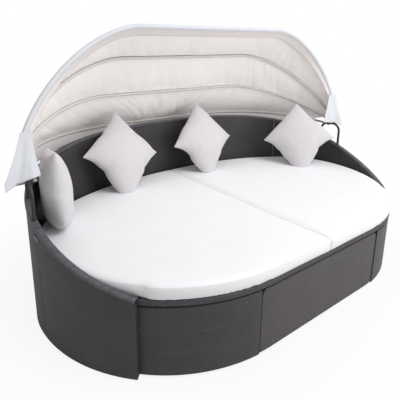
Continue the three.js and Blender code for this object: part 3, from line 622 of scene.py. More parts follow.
def strand(name, shade, spread):
    """Single strands, each with its own tone, lightened along their middles and darkened towards their edges
    as painted highlight and painted shade.
    """
    material, tree, shader = blank_material(name, roughness=0.42)
    place = coordinates(tree, "UV")
    own = node(tree, "ShaderNodeAttribute", attribute_name="tone").outputs["Fac"]
    lines = node(tree, "ShaderNodeTexWave", {"Vector": place, "Scale": 3.0, "Distortion": 1.5})
    level = maths(tree, "MULTIPLY_ADD", own, spread, 1 - spread / 2)
    across = node(tree, "ShaderNodeSeparateXYZ", {0: place}).outputs[0]
    arch = maths(tree, "MULTIPLY", across, maths(tree, "SUBTRACT", 1, across))
    # Painted light: each strand is lighter along its middle and shaded towards its edges
    painted_middle_highlight, painted_edge_shade = 3.4, 0.35
    rough_share, smoothest = 0.2, 0.35
    level = maths(tree, "MULTIPLY", level, maths(tree, "MULTIPLY_ADD", arch, painted_middle_highlight, painted_edge_shade))
    tree.links.new(scaled(tree, shade, level), shader.inputs["Base Color"])
    rough = maths(tree, "MULTIPLY_ADD", own, rough_share, smoothest)
    tree.links.new(rough, shader.inputs["Roughness"])
    bump(tree, shader, lines.outputs["Fac"], 0.0003, 0.5)
    return material


def fabric(name, shade, thread, source="UV", painted_shade_height=None):
    """Plain-weave cloth with a soft sheen and faint painted shade between its threads; below a given height
    it is darkened with painted shade, as on the mattress's shaded sides.
    """
    material, tree, shader = blank_material(name, roughness=0.88, Sheen_Weight=0.25, Sheen_Roughness=0.6)
    patch, depth = 0.12, 0.06
    # Painted light: threads slightly lightened and the gaps between them slightly shaded
    painted_thread_highlight, painted_gap_shade = 0.05, 0.965
    painted_side_shade, painted_shade_blend = 0.8, 0.004
    place = coordinates(tree, source)
    woven = group(tree, "weave", {"Vector": place, "Pitch": thread})
    mottled = group(tree, "mottle", {"Vector": place, "Color": rgba(shade), "Size": patch, "Depth": depth})
    level = maths(tree, "MULTIPLY_ADD", woven.outputs["Height"], painted_thread_highlight, painted_gap_shade)
    # Below the given height the cloth is darkened with painted shade, for the mattress's shaded sides
    if painted_shade_height is not None:
        height = node(tree, "ShaderNodeSeparateXYZ", {0: place}).outputs[2]
        painted_side_shade_range = {0: height, 1: painted_shade_height - painted_shade_blend, 2: painted_shade_height, 3: painted_side_shade, 4: 1.0}
        level = maths(tree, "MULTIPLY", level, node(tree, "ShaderNodeMapRange", painted_side_shade_range).outputs[0])
    tree.links.new(scaled(tree, mottled.outputs["Color"], level), shader.inputs["Base Color"])
    bump(tree, shader, woven.outputs["Height"], 0.0002, 0.5)
    return material


def coated(name, shade, roughness, metallic=0.0):
    """Paint, plastic or bare metal with a fine grain."""
    material, tree, shader = blank_material(name, metallic, roughness)
    patch, depth = 0.02, 0.3
    grain_rough = 0.2
    place = coordinates(tree, "Object")
    mottled = group(tree, "mottle", {"Vector": place, "Color": rgba(shade), "Size": patch, "Depth": depth})
    tree.links.new(mottled.outputs["Color"], shader.inputs["Base Color"])
    rough = maths(tree, "MULTIPLY_ADD", mottled.outputs["Grain"], grain_rough, roughness - grain_rough / 2)
    tree.links.new(rough, shader.inputs["Roughness"])
    bump(tree, shader, mottled.outputs["Grain"], 0.0002, 0.4)
    return material


def slat_wood(name, shade):
    """Stained boards with the grain along them."""
    drawn_out = 14.0
    material, tree, shader = blank_material(name, roughness=0.62)
    place = coordinates(tree, "Object")
    drawn = node(tree, "ShaderNodeMapping", {"Vector": place, "Scale": (1.0, drawn_out, drawn_out)})
    sizes = {"Vector": drawn.outputs[0], "Color": rgba(shade), "Size": 0.25, "Depth": 1.1}
    mottled = group(tree, "mottle", sizes)
    tree.links.new(mottled.outputs["Color"], shader.inputs["Base Color"])
    bump(tree, shader, mottled.outputs["Grain"], 0.0004, 0.6)
    return material


finishes = {}


def finish(name):
    """A finish of the daybed, made from the sizes and colours in the panel when it is first used."""
    if name not in finishes:
        wicker_sizes = bpy.context.scene.daybed_wicker
        cushions = bpy.context.scene.daybed_cushions
        canopy = bpy.context.scene.daybed_canopy
        pitch, relief = wicker_sizes.pitch, wicker_sizes.relief
        painted_shade_drop = 0.011
        makers = {
            "rattan": lambda: wicker("Woven rattan", wicker_sizes.panels, pitch, relief),
            "rattan_flat": lambda: wicker("Woven rattan, flat", wicker_sizes.panels, pitch, relief, False),
            "rattan_stool": lambda: wicker("Woven rattan, stool", wicker_sizes.stool, pitch, relief),
            "stool_flat": lambda: wicker("Woven stool, flat", wicker_sizes.stool, pitch, relief, False),
            # The rails' lighter strand colour is painted sheen on the rail tops
            "rattan_rim": lambda: strand("Wound strands, rails", wicker_sizes.rails, 0.5),
            "rim_strands": lambda: strand("Wound strands, rim", wicker_sizes.rim, 0.35),
            # The mattress cloth carries painted shade on its sides, below its top
            "mattress_cloth": lambda: fabric(
                "Mattress cloth", cushions.mattress, 0.0011, "Object", mattress_high.z - painted_shade_drop
            ),
            "pillow_cloth": lambda: fabric("Pillow cloth", cushions.pillow, 0.0009),
            "canopy_cloth": lambda: fabric("Canopy cloth", canopy.cloth, 0.0012),
            # Pockets of the rear hoops: painted shade on the canopy's cloth
            "shaded_pocket_cloth": lambda: fabric("Pocket cloth", canopy.pocket, 0.0012),
            # Front sleeve and flaps: painted cool shade on the canopy's cloth
            "cool_shaded_hem_cloth": lambda: fabric("Hem cloth", canopy.hem, 0.0012),
            # The hem's inner band: painted shade on the canopy's cloth
            "shaded_band_cloth": lambda: fabric("Hem band cloth", canopy.band, 0.0012),
            "thread": lambda: coated("Sewing thread", tone(206, 204, 204), 0.8),
            "steel": lambda: coated("Black coated steel", tone(30, 30, 32), 0.42),
            "hoop_tube": lambda: coated("Hoop tube", tone(150, 150, 152), 0.4, 0.9),
            "stainless": lambda: coated("Satin strap", tone(104, 105, 108), 0.35, 1.0),
            "plastic": lambda: coated("Moulded glides", tone(38, 38, 40), 0.6),
            "slat": lambda: slat_wood("Stained slats", tone(74, 62, 52)),
        }
        finishes[name] = makers[name]()
    return finishes[name]


# Repeats along a path


def along_path_tree():
    """A geometry tree that sets one small piece along a path, each with its own tone."""
    tree = bpy.data.node_groups.new("Set along a path", "GeometryNodeTree")
    sockets = [
        ("Path", "NodeSocketGeometry"),
        ("Piece", "NodeSocketObject"),
        ("Pitch", "NodeSocketFloat"),
        ("Looseness", "NodeSocketFloat"),
        ("Seed", "NodeSocketInt"),
        ("Material", "NodeSocketMaterial"),
    ]
    for label, kind in sockets:
        tree.interface.new_socket(label, in_out="INPUT", socket_type=kind)
    tree.interface.new_socket("Geometry", in_out="OUTPUT", socket_type="NodeSocketGeometry")
    given = node(tree, "NodeGroupInput").outputs
    result = node(tree, "NodeGroupOutput")
    path = node(tree, "GeometryNodeMeshToCurve", {"Mesh": given["Path"]})
    even = node(tree, "GeometryNodeResampleCurve", {"Curve": path.outputs[0]}, mode="LENGTH")
    tree.links.new(given["Pitch"], even.inputs["Length"])
    tangent = node(tree, "GeometryNodeInputTangent")
    turn = node(
        tree,
        "FunctionNodeAxesToRotation",
        {"Primary Axis": tangent.outputs[0], "Secondary Axis": (0.0, 0.0, 1.0)},
        primary_axis="X",
        secondary_axis="Z",
    )
    loose = maths_geometry(tree, given["Looseness"])
    piece = node(tree, "GeometryNodeObjectInfo", {"Object": given["Piece"]})
    jitter = node(
        tree,
        "FunctionNodeRandomValue",
        {"Min": loose[0], "Max": loose[1], "Seed": given["Seed"]},
        data_type="FLOAT_VECTOR",
    )
    placed = node(
        tree,
        "GeometryNodeInstanceOnPoints",
        {
            "Points": even.outputs[0],
            "Instance": piece.outputs["Geometry"],
            "Rotation": turn.outputs[0],
            "Scale": jitter.outputs[0],
        },
    )
    tones = node(tree, "FunctionNodeRandomValue", {"Seed": given["Seed"]}, data_type="FLOAT")
    toned = node(
        tree,
        "GeometryNodeStoreNamedAttribute",
        {"Geometry": placed.outputs[0], "Name": "tone", "Value": tones.outputs[1]},
        data_type="FLOAT",
        domain="INSTANCE",
    )
    real = node(tree, "GeometryNodeRealizeInstances", {"Geometry": toned.outputs[0]})
    finished = node(tree, "GeometryNodeSetMaterial", {"Geometry": real.outputs[0]})
    tree.links.new(given["Material"], finished.inputs["Material"])
    tree.links.new(finished.outputs[0], result.inputs["Geometry"])
    return tree


def maths_geometry(tree, looseness):
    """The least and the most scale of a piece, from how loosely it is set."""
    low = maths(tree, "SUBTRACT", 1, looseness)
    high = maths(tree, "ADD", 1, looseness)
    ends = []
    for value in (low, high):
        ends.append(node(tree, "ShaderNodeCombineXYZ", {0: value, 1: value, 2: value}).outputs[0])
    return ends


def set_along(name, paths, piece, pitch, material, body, slot, looseness=0.03, seed=1):
    """Sets copies of a piece along paths, as one plain mesh that rides a body."""
    points = [point for path in paths for point in path]
    edges, start = [], 0
    for path in paths:
        edges += [(start + i, start + i + 1) for i in range(len(path) - 1)]
        start += len(path)
    mesh = bpy.data.meshes.new(name)
    mesh.from_pydata([tuple(point) for point in points], edges, [])
    carrier = added(name, mesh)
    if "path" not in groups:
        groups["path"] = along_path_tree()
    tree = groups["path"]
    modifier = carrier.modifiers.new("Set along", "NODES")
    modifier.node_group = tree
    values = {"Piece": piece, "Pitch": pitch, "Looseness": looseness, "Seed": seed, "Material": material}
    for item in tree.interface.items_tree:
        if item.in_out == "INPUT" and item.name in values:
            modifier[item.identifier] = values[item.name]
    settle(carrier)
    bpy.data.objects.remove(piece)
    smooth(carrier)
    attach(carrier, body)


def turn_of_strand(half_width, half_height, width, proud=0.0011, skew=0.18, steps=18):
    """One turn of a flat strand round a rounded section, skewed as a wound strand lies."""
    points, corners = [], []
    squareness = 0.55
    for i in range(steps):
        angle = 2 * math.pi * i / steps
        c, s = math.cos(angle), math.sin(angle)
        y = math.copysign(abs(c) ** squareness, c)
        z = math.copysign(abs(s) ** squareness, s)
        for side in (-1, 0, 1):
            rise = proud if side == 0 else 0
            x = side * width / 2 + skew * y * half_width
            points.append((x, y * (half_width + rise), z * (half_height + rise)))
    faces = grid_faces(steps, 3, closed_rows=True)
    for face in faces:
        for k in face:
            corners.append(((k % 3) / 2, (k // 3) * 0.01))
    return mesh_object("turn", points, faces, corners, crease=80)


def stitch(size, thickness):
    """One sewn stitch: a short thread that dips at both ends."""
    points = []
    steps, sides = 4, 5
    end_swell, rise = 0.55, 1.2
    for i in range(steps + 1):
        share = i / steps
        swell = thickness * (end_swell + (1 - end_swell) * math.sin(math.pi * share))
        for j in range(sides):
            angle = 2 * math.pi * j / sides
            height = thickness * rise * math.sin(math.pi * share) + swell * math.sin(angle)
            points.append((size * (share - 0.5), swell * math.cos(angle), height))
    return mesh_object("stitch", points, ring_faces(steps + 1, sides), crease=80)


def tube(points, radius, sides):
    """Points and faces of a round tube along a line of points, with closed ends."""
    made, normal = [], None
    for i, point in enumerate(points):
        along = (points[min(i + 1, len(points) - 1)] - points[max(i - 1, 0)]).normalized()
        if normal is None:
            normal = along.orthogonal().normalized()
        normal = (normal - along * normal.dot(along)).normalized()
        other = along.cross(normal)
        for j in range(sides):
            angle = 2 * math.pi * j / sides
            made.append(point + (normal * math.cos(angle) + other * math.sin(angle)) * radius)
    faces = ring_faces(len(points), sides)
    faces.append(tuple(range(sides)))
    faces.append(tuple(range(len(points) * sides - 1, (len(points) - 1) * sides - 1, -1)))
    return made, faces


def merged(parts):
    """Points and faces of several shapes as one."""
    points, faces = [], []
    for some_points, some_faces in parts:
        start = len(points)
        points += some_points
        faces += [tuple(start + k for k in face) for face in some_faces]
    return points, faces


# Soft shapes blown up as cloth


def inflate(shape, frames, reach, pressure, stiffness, mass, bending):
    """Blows a closed shape up as cloth, and keeps each point within reach of where it began."""
    scene = bpy.context.scene
    before = [vertex.co.copy() for vertex in shape.data.vertices]
    cloth = shape.modifiers.new("Cloth", "CLOTH")
    settings = cloth.settings
    settings.quality = 5
    settings.mass = mass
    settings.tension_stiffness = stiffness
    settings.compression_stiffness = stiffness
    settings.shear_stiffness = stiffness / 3
    settings.bending_stiffness = bending
    settings.use_pressure = True
    settings.uniform_pressure_force = pressure
    settings.effector_weights.gravity = 0
    cloth.collision_settings.use_collision = False
    cloth.point_cache.frame_start = 1
    cloth.point_cache.frame_end = frames
    for number in range(1, frames + 1):
        scene.frame_set(number)
    graph = bpy.context.evaluated_depsgraph_get()
    blown = [vertex.co.copy() for vertex in shape.evaluated_get(graph).data.vertices]
    shape.modifiers.clear()
    scene.frame_set(1)
    for vertex, old, new in zip(shape.data.vertices, before, blown):
        shift = new - old
        if shift.length > reach:
            shift *= reach / shift.length
        vertex.co = old + shift
    shape.data.update()
    return shape


# Operators, one for each group of pieces


class DAYBED_OT_finish_frame(bpy.types.Operator):
    """Gives the carried-over frame parts their finishes"""

    bl_idname = "daybed.finish_frame"
    bl_label = "Finish the frame"

    def execute(self, context):
        flat = {"rattan": "rattan_flat", "rattan_stool": "stool_flat"}
        for part in frame["record"]["subparts"]:
            thing = frame["nodes"][part["node"]]
            slot = part["material_slot"]
            name = flat.get(slot, slot)
            thing.data.materials.clear()
            thing.data.materials.append(finish(name))
        return {"FINISHED"}


class DAYBED_OT_weave_panels(bpy.types.Operator):
    """Weaves the shell, the skirts and the stool's front, and laces the right back seam"""

    bl_idname = "daybed.weave_panels"
    bl_label = "Weave the panels"

    def execute(self, context):
        inner, outer = shell_gap, shell_gap + shell_thickness

        def shell_section(distance):
            top = shell_top(distance) - rail_height / 2
            return [(inner, panel_foot), (outer, panel_foot), (outer, top), (inner, top)]

        for name, (start, stop) in shell_runs.items():
            panel = band(f"woven_{name}", start, stop, shell_section)
            dress(panel, finish("rattan"), "daybed", "rattan", name)
        rim_foot = rim_low.z
        face, back = -skirt_recess, -skirt_recess - skirt_thickness
        edge = 0.002

        def skirt_section(distance):
            lower = [(back, panel_foot), (face - edge, panel_foot), (face, panel_foot + edge)]
            bevel = [(face, rim_foot - groove - edge), (face - edge, rim_foot - groove)]
            upper = [(face - groove, rim_foot - groove), (face - groove, rim_foot), (back, rim_foot)]
            return lower + bevel + upper

        alcove = oval.find(0, alcove_half_width, 0, oval.right_end)
        runs = {"right": (alcove, side_seam), "left": (oval.total - side_seam, oval.total - alcove)}
        for side, (start, stop) in runs.items():
            skirt = band(f"woven_skirt_{side}", start, stop, skirt_section)
            dress(skirt, finish("rattan"), "daybed", "rattan", f"skirt_{side}")
        dress(stool_face(), finish("rattan_stool"), "stool", "rattan_stool", "stool_front")
        above_rail, lace_sink, lace_pitch, parts = 0.004, 0.0015, 0.02, 20
        top, foot = shell_top(seam_right) + above_rail, mattress_high.z
        heights = [top + (foot - top) * i / parts for i in range(parts + 1)]
        drop = [oval.at(seam_right, shell_gap - lace_sink, z) for z in heights]
        lace, thread = stitch(size=0.011, thickness=0.0014), finish("thread")
        rides = ("daybed", "canopy_cloth")
        set_along("seam_laces", [drop], lace, lace_pitch, thread, *rides, looseness=0.2, seed=11)
        return {"FINISHED"}


def stool_face():
    """The stool's woven front, which follows the oval and has two rounded upper corners."""
    low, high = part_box("stool_front")
    end = oval.find(0, stool_half_width, 0, oval.right_end)
    straight = end - stool_corner
    face, back = -stool_recess, -stool_recess - stool_thickness

    def section(distance):
        around = distance - oval.total
        into = max(0.0, abs(around) - straight)
        top = high.z - stool_corner + math.sqrt(max(0.0, stool_corner**2 - into**2))
        edge = 0.003
        lower = [(back, low.z), (face - edge, low.z), (face, low.z + edge)]
        return lower + [(face, top - edge), (face - edge, top), (back, top)]

    return band("woven_stool_front", oval.total - end, oval.total + end, section, step=0.006)


class DAYBED_OT_wind_rails(bpy.types.Operator):
    """Winds strands round the shell's rails and the seat rim"""

    bl_idname = "daybed.wind_rails"
    bl_label = "Wind the rails and the rim"

    def execute(self, context):
        pitch = context.scene.daybed_wicker.winding
        middle = shell_gap + (shell_thickness + rail_overhang) / 2
        half = (shell_thickness + rail_overhang) / 2
        path_step, inset, skin, chamfer, side = 0.02, 0.003, 0.0012, 0.005, 0.006
        strand_share, stand_off = 0.96, 0.0006
        paths = []
        for name, (start, stop) in shell_runs.items():
            count = round((stop - start) / path_step)
            places = [start + inset + (stop - start - 2 * inset) * i / count for i in range(count + 1)]
            paths.append([oval.at(d, middle, shell_top(d) - rail_height / 2) for d in places])

            def core_section(distance):
                top = shell_top(distance)
                inner, outer = middle - half + skin, middle + half - skin
                low = top - rail_height
                upper = [(outer, top - side), (outer - chamfer, top - skin)]
                upper += [(inner + chamfer, top - skin), (inner, top - side)]
                return [(inner, low), (outer, low)] + upper

            core = band(f"rail_core_{name}", start, stop, core_section)
            dress(core, finish("rattan_rim"), "daybed", "rattan_rim", f"{name}_rail")
        turn = turn_of_strand(half, rail_height / 2 + stand_off, pitch * strand_share)
        strands = finish("rattan_rim")
        set_along("rail_windings", paths, turn, pitch, strands, "daybed", "rattan_rim", seed=3)
        wind_rim(pitch)
        return {"FINISHED"}


def wind_rim(pitch):
    """The seat rim: a dark core with a strand wound round its band."""
    top, foot = rim_high.z, rim_low.z
    rim_width, band_width, ledge = 0.05, 0.028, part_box("centre_beam")[1].z
    inset, edge, strand_share = 0.0012, 0.004, 0.96

    def section(distance):
        lower = [(-rim_width, foot), (-edge, foot + inset), (-inset, foot + edge)]
        upper = [(-inset, top - edge), (-edge, top - inset), (-band_width, top - inset)]
        return lower + upper + [(-band_width, ledge), (-rim_width, ledge)]

    core = band("rim_core", 0, oval.total, section, joined=True)
    dress(core, finish("rim_strands"), "daybed", "rattan_rim", "seat_rim")
    count = 300
    middle = -band_width / 2
    ring = [oval.at(oval.total * i / count, middle, (top + foot) / 2) for i in range(count + 1)]
    turn = turn_of_strand(band_width / 2, (top - foot) / 2, pitch * strand_share, proud=0.0006, skew=0.12)
    strands = finish("rim_strands")
    set_along("rim_windings", [ring], turn, pitch, strands, "daybed", "rattan_rim", seed=5)


class DAYBED_OT_bend_brackets(bpy.types.Operator):
    """Bends the smooth black tubes that carry the hoops"""

    bl_idname = "daybed.bend_brackets"
    bl_label = "Bend the brackets"

    def execute(self, context):
        radius, half_width, bend, bend_steps = 0.008, 0.066, 0.052, 12
        root_depth, boss_half, boss_radius = 0.02, Vector((0.018, 0, 0)), 0.01
        collar_radius, collar = 0.0115, Vector((0, 0, 0.012))
        wall = shell_gap + shell_thickness / 2
        pivot_back = pivot.y - widest_line
        ends = []
        for y in (pivot_back - half_width, pivot_back + half_width):
            distance = oval.find(1, widest_line + y, oval.right_end, oval.back)
            ends.append(oval.at(distance, wall, shell_top(distance) - root_depth))
        along = (ends[1] - ends[0]) * Vector((1, 1, 0))
        along.normalize()
        crown = pivot.z
        line = [ends[0]]
        for end, way in ((ends[0], 1), (ends[1], -1)):
            arc = []
            for i in range(bend_steps + 1):
                angle = math.pi / 2 * i / bend_steps
                shift = bend * (1 - math.cos(angle))
                point = end + along * shift * way
                point.z = crown - bend + bend * math.sin(angle)
                arc.append(point)
            line += arc if way == 1 else arc[::-1]
        line.append(ends[1])
        parts = []
        boss = (line[bend_steps + 1] + line[bend_steps + 2]) / 2
        for side in (1, -1):
            turned = [Vector((side * p.x, p.y, p.z)) for p in line]
            parts.append(tube(turned, radius, 20))
            centre = Vector((side * boss.x, pivot.y, crown))
            parts.append(tube([centre - boss_half, centre + boss_half], boss_radius, 24))
            for end in ends:
                foot = Vector((side * end.x, end.y, end.z)) + collar
                parts.append(tube([foot, foot + collar], collar_radius, 24))
        points, faces = merged(parts)
        brackets = mesh_object("bent_brackets", points, faces, crease=50)
        dress(brackets, finish("steel"), "daybed", "steel", "bracket_right", "bracket_left")
        return {"FINISHED"}


class DAYBED_OT_lay_mattresses(bpy.types.Operator):
    """Lays the two soft mattress halves on the seat"""

    bl_idname = "daybed.lay_mattresses"
    bl_label = "Lay the mattresses"

    def execute(self, context):
        swell = context.scene.daybed_cushions.mattress_swell
        shrink_share, most_rise, seam_power = 0.6, 0.004, 0.7
        right = mattress_shape("mattress_cover_right", swell * shrink_share)
        voxels = right.modifiers.new("Even faces", "REMESH")
        voxels.mode = "VOXEL"
        voxels.voxel_size = 0.008
        settle(right)
        inflate(right, frames=12, reach=swell, pressure=1.0, stiffness=12, mass=0.2, bending=2.0)
        soften = right.modifiers.new("Soften", "SMOOTH")
        soften.factor = 0.4
        soften.iterations = 1
        settle(right)
        floor, ceiling = mattress_low.z, mattress_high.z + most_rise
        seam, reach = 0.0004, 0.014
        for vertex in right.data.vertices:
            beside = max(vertex.co.x - seam, 0)
            vertex.co.x = seam + (beside if beside > reach else beside * (beside / reach) ** seam_power)
            vertex.co.z = min(max(vertex.co.z, floor), ceiling)
        left_mesh = right.data.copy()
        left_mesh.transform(Matrix.Scale(-1, 4, (1, 0, 0)))
        left_mesh.flip_normals()
        left = added("mattress_cover_left", left_mesh)
        for side, cover in (("right", right), ("left", left)):
            smooth(cover)
            dress(cover, finish("mattress_cloth"), "daybed", "mattress_cloth", f"mattress_{side}")
        return {"FINISHED"}


def mattress_edge(distance):
    """How far the cover's edge stands out from the rim: over it in front, inside the shell behind."""
    inside, over, ease = -0.005, 0.008, 0.07
    share = min(max((wing_front - distance) / ease, 0), 1)
    return inside + (over - inside) * share * share * (3 - 2 * share)


def mattress_ring(inset, z):
    seam_gap_half, seam_share = 0.0005, 0.2
    seam = seam_gap_half + inset * seam_share
    front = oval.find(0, seam, 0, oval.right_end)
    back = oval.find(0, seam, oval.right_end, oval.back)
    ring = []
    curve_points, seam_points = 110, 50
    for i in range(curve_points + 1):
        distance = front + (back - front) * i / curve_points
        ring.append(oval.at(distance, mattress_edge(distance) - inset, z))
    last, first = ring[-1], ring[0]
    ring += [last.lerp(first, i / seam_points) for i in range(1, seam_points)]
    return ring


def mattress_shape(name, shrink):
    """A closed half oval with soft edges, drawn in a little so that it can swell."""
    height = mattress_high.z - mattress_low.z
    foot_roll, top_roll, crown, side_steps = 0.003, 0.009, 0.007, 12
    foot_power, top_power = 3, 5
    rings = []
    side = height - crown
    for i in range(side_steps + 1):
        share = i / side_steps
        roll = foot_roll if share < 0.5 else top_roll
        inset = roll * abs(2 * share - 1) ** (foot_power if share < 0.5 else top_power)
        rings.append(mattress_ring(inset + shrink, mattress_low.z + share * side))
    for inset, rise in ((0.03, 0.35), (0.06, 0.62), (0.1, 0.85), (0.16, 1.0)):
        rings.append(mattress_ring(inset, mattress_high.z - crown * (1 - rise)))
    size = len(rings[0])
    points = [point for ring in rings for point in ring]
    faces = []
    for i in range(len(rings) - 1):
        for j in range(size):
            k = (j + 1) % size
            faces.append((i * size + j, i * size + k, (i + 1) * size + k, (i + 1) * size + j))
    faces.append(tuple(range(size)))
    faces.append(tuple(range(len(points) - 1, len(points) - size - 1, -1)))
    return mesh_object(name, points, faces, crease=80)


# Where each pillow leans: yaw, lean and spin in degrees, how far its left and right corners hang,
# and how far its two lower corners are tucked in

pillow_turns = {
    "pillow_left_end": (78, 3, 8, 0, 0, 0.06),
    "pillow_left_back": (4, 27, 52, 0.018, 0.014, 0),
    "pillow_right_back": (2, 26, 49.4, 0.05, 0.004, 0),
    "pillow_right_end": (-46, 30, 39, 0.024, 0.042, 0),
}
pillow_waist_share = 0.09


class DAYBED_OT_set_pillows(bpy.types.Operator):
    """Fills the four scatter pillows and sets them along the shell"""

    bl_idname = "daybed.set_pillows"
    bl_label = "Set the pillows"

    def execute(self, context):
        sizes = context.scene.daybed_cushions
        sink = sizes.pillow_sink
        soft_share, end_zone, end_slope = 2.6, 0.1, 0.5
        most_spread, spread_power, squash = 0.75, 4, 0.6
        tuck_reach, hang_power = 0.17, 2.5
        dent_size, dent_depth, dent_shift = 0.11, 0.05, 7
        filled = pillow_shape("pillow_form", sizes.pillow_side, sizes.pillow_thickness)
        for name, (yaw, lean, spin, left_hang, right_hang, tuck) in pillow_turns.items():
            turn = (
                Matrix.Rotation(math.radians(yaw), 4, "Z")
                @ Matrix.Rotation(math.radians(-lean), 4, "X")
                @ Matrix.Rotation(math.radians(spin), 4, "Y")
            )
            low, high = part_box(name)
            plain = [turn @ point for point in plain_pillow(sizes.pillow_side, sizes.pillow_thickness)]
            centre = Vector(((min(p[i] for p in plain) + max(p[i] for p in plain)) / 2 for i in range(3)))
            cover = added(f"{name}_cover", filled.data.copy())
            cover.data.transform(Matrix.Translation((low + high) / 2 - centre) @ turn)
            floor, soft = low.z, soft_share * sink
            middle, half = (low + high) / 2, (high.x - low.x) / 2
            lowest = min(cover.data.vertices, key=lambda vertex: vertex.co.z).co.copy()
            along = Vector((math.cos(math.radians(yaw)), math.sin(math.radians(yaw)), 0))
            feet = []
            for side in (-1, 1):
                beyond = [p.co for p in cover.data.vertices if side * (p.co - middle).dot(along) > end_zone]
                foot = min(beyond, key=lambda place: place.z - end_slope * side * place.dot(along))
                feet.append((foot.copy(), (middle - foot).normalized()))
            spread = most_spread * math.sin(math.radians(2 * spin)) ** spread_power
            for vertex in cover.data.vertices:
                for foot, inwards in feet if tuck else ():
                    near = max(0, 1 - (vertex.co - foot).length / tuck_reach)
                    vertex.co += inwards * tuck * near * near
                dent = ripple(*(vertex.co / dent_size + Vector((middle.x * dent_shift, 0, 0))))
                vertex.co += (vertex.co - middle) * dent_depth * dent
                aside = (vertex.co.x - middle.x) / half
                vertex.co.z -= (left_hang if aside < 0 else right_hang) * abs(aside) ** hang_power
                above = vertex.co.z - floor
                if above < soft:
                    pressed = (1 - above / soft) ** 2
                    offset = (vertex.co - lowest) * Vector((1, 1, 0))
                    beside = along * offset.dot(along)
                    vertex.co += (beside * spread + (offset - beside) * squash) * pressed
                    vertex.co.z = floor + max(0, above - sink * pressed)
            dress(cover, finish("pillow_cloth"), "daybed", "pillow_cloth", name)
        bpy.data.objects.remove(filled)
        return {"FINISHED"}


def plain_pillow(side, thickness, cells=10):
    """The corners of a plain square pillow, as the frame has it."""
    points = []
    for way in (1, -1):
        for i in range(cells + 1):
            for j in range(cells + 1):
                s = math.sin((i / cells - 0.5) * math.pi)
                t = math.sin((j / cells - 0.5) * math.pi)
                x = side / 2 * s * (1 - pillow_waist_share * (1 - t * t) * s * s)
                z = side / 2 * t * (1 - pillow_waist_share * (1 - s * s) * t * t)
                swell = max(0, (1 - s * s) * (1 - t * t)) ** 0.5
                points.append(Vector((x, way * swell * thickness / 2, z)))
    return points


def pillow_shape(name, side, thickness):
    """Two square covers sewn round their edges and filled."""
    cells, start_share, waist, blown_share = 40, 0.14, 0.05, 0.0
    gather_depth, gather_reach, gather_edge, gather_size, gather_gain = 0.005, 0.16, 0.04, 0.017, 12
    points, index, faces, corners = [], {}, [], []

    def corner(way, i, j):
        border = i in (0, cells) or j in (0, cells)
        key = (0 if border else way, i, j)
        if key not in index:
            s, t = 2 * i / cells - 1, 2 * j / cells - 1
            swell = (1 - s**4) * (1 - t**4)
            index[key] = len(points)
            points.append(Vector((side / 2 * s, way * swell * thickness * start_share, side / 2 * t)))
        return index[key]

    for way in (1, -1):
        for i in range(cells):
            for j in range(cells):
                ring = [(i, j), (i + 1, j), (i + 1, j + 1), (i, j + 1)]
                if way < 0:
                    ring.reverse()
                faces.append(tuple(corner(way, a, b) for a, b in ring))
                corners += [(a / cells * side, b / cells * side) for a, b in ring]
    shape = mesh_object(name, points, faces, corners, crease=180)
    full = []
    for vertex in shape.data.vertices:
        s, t = 2 * vertex.co.x / side, 2 * vertex.co.z / side
        swell = math.sqrt(max(0, (1 - s * s) * (1 - t * t)))
        x = vertex.co.x * (1 - waist * (1 - t * t) * s * s)
        z = vertex.co.z * (1 - waist * (1 - s * s) * t * t)
        edge = min(1 - abs(s), 1 - abs(t))
        along = vertex.co.x if abs(t) > abs(s) else vertex.co.z
        gather = gather_depth * math.exp(-edge / gather_reach) * min(1.0, edge / gather_edge)
        gather *= ripple(along / gather_size, math.copysign(3, s + t), math.copysign(2, s - t))
        y = math.copysign(swell * thickness / 2, vertex.co.y) * (1 + gather * gather_gain)
        full.append(Vector((x, y, z)))
    blown_share = 0.3
    inflate(shape, frames=30, reach=0.2, pressure=6.0, stiffness=40, mass=0.05, bending=0.05)
    sizes = [max(abs(vertex.co[i]) for vertex in shape.data.vertices) for i in range(3)]
    shape.data.transform(
        Matrix.Diagonal((side / 2 / sizes[0], thickness / 2 / sizes[1], side / 2 / sizes[2], 1))
    )
    for vertex, place in zip(shape.data.vertices, full):
        vertex.co = place.lerp(vertex.co, blown_share)
    fine = shape.modifiers.new("Smooth", "SUBSURF")
    fine.levels = 1
    fine.render_levels = 1
    settle(shape)
    return shape


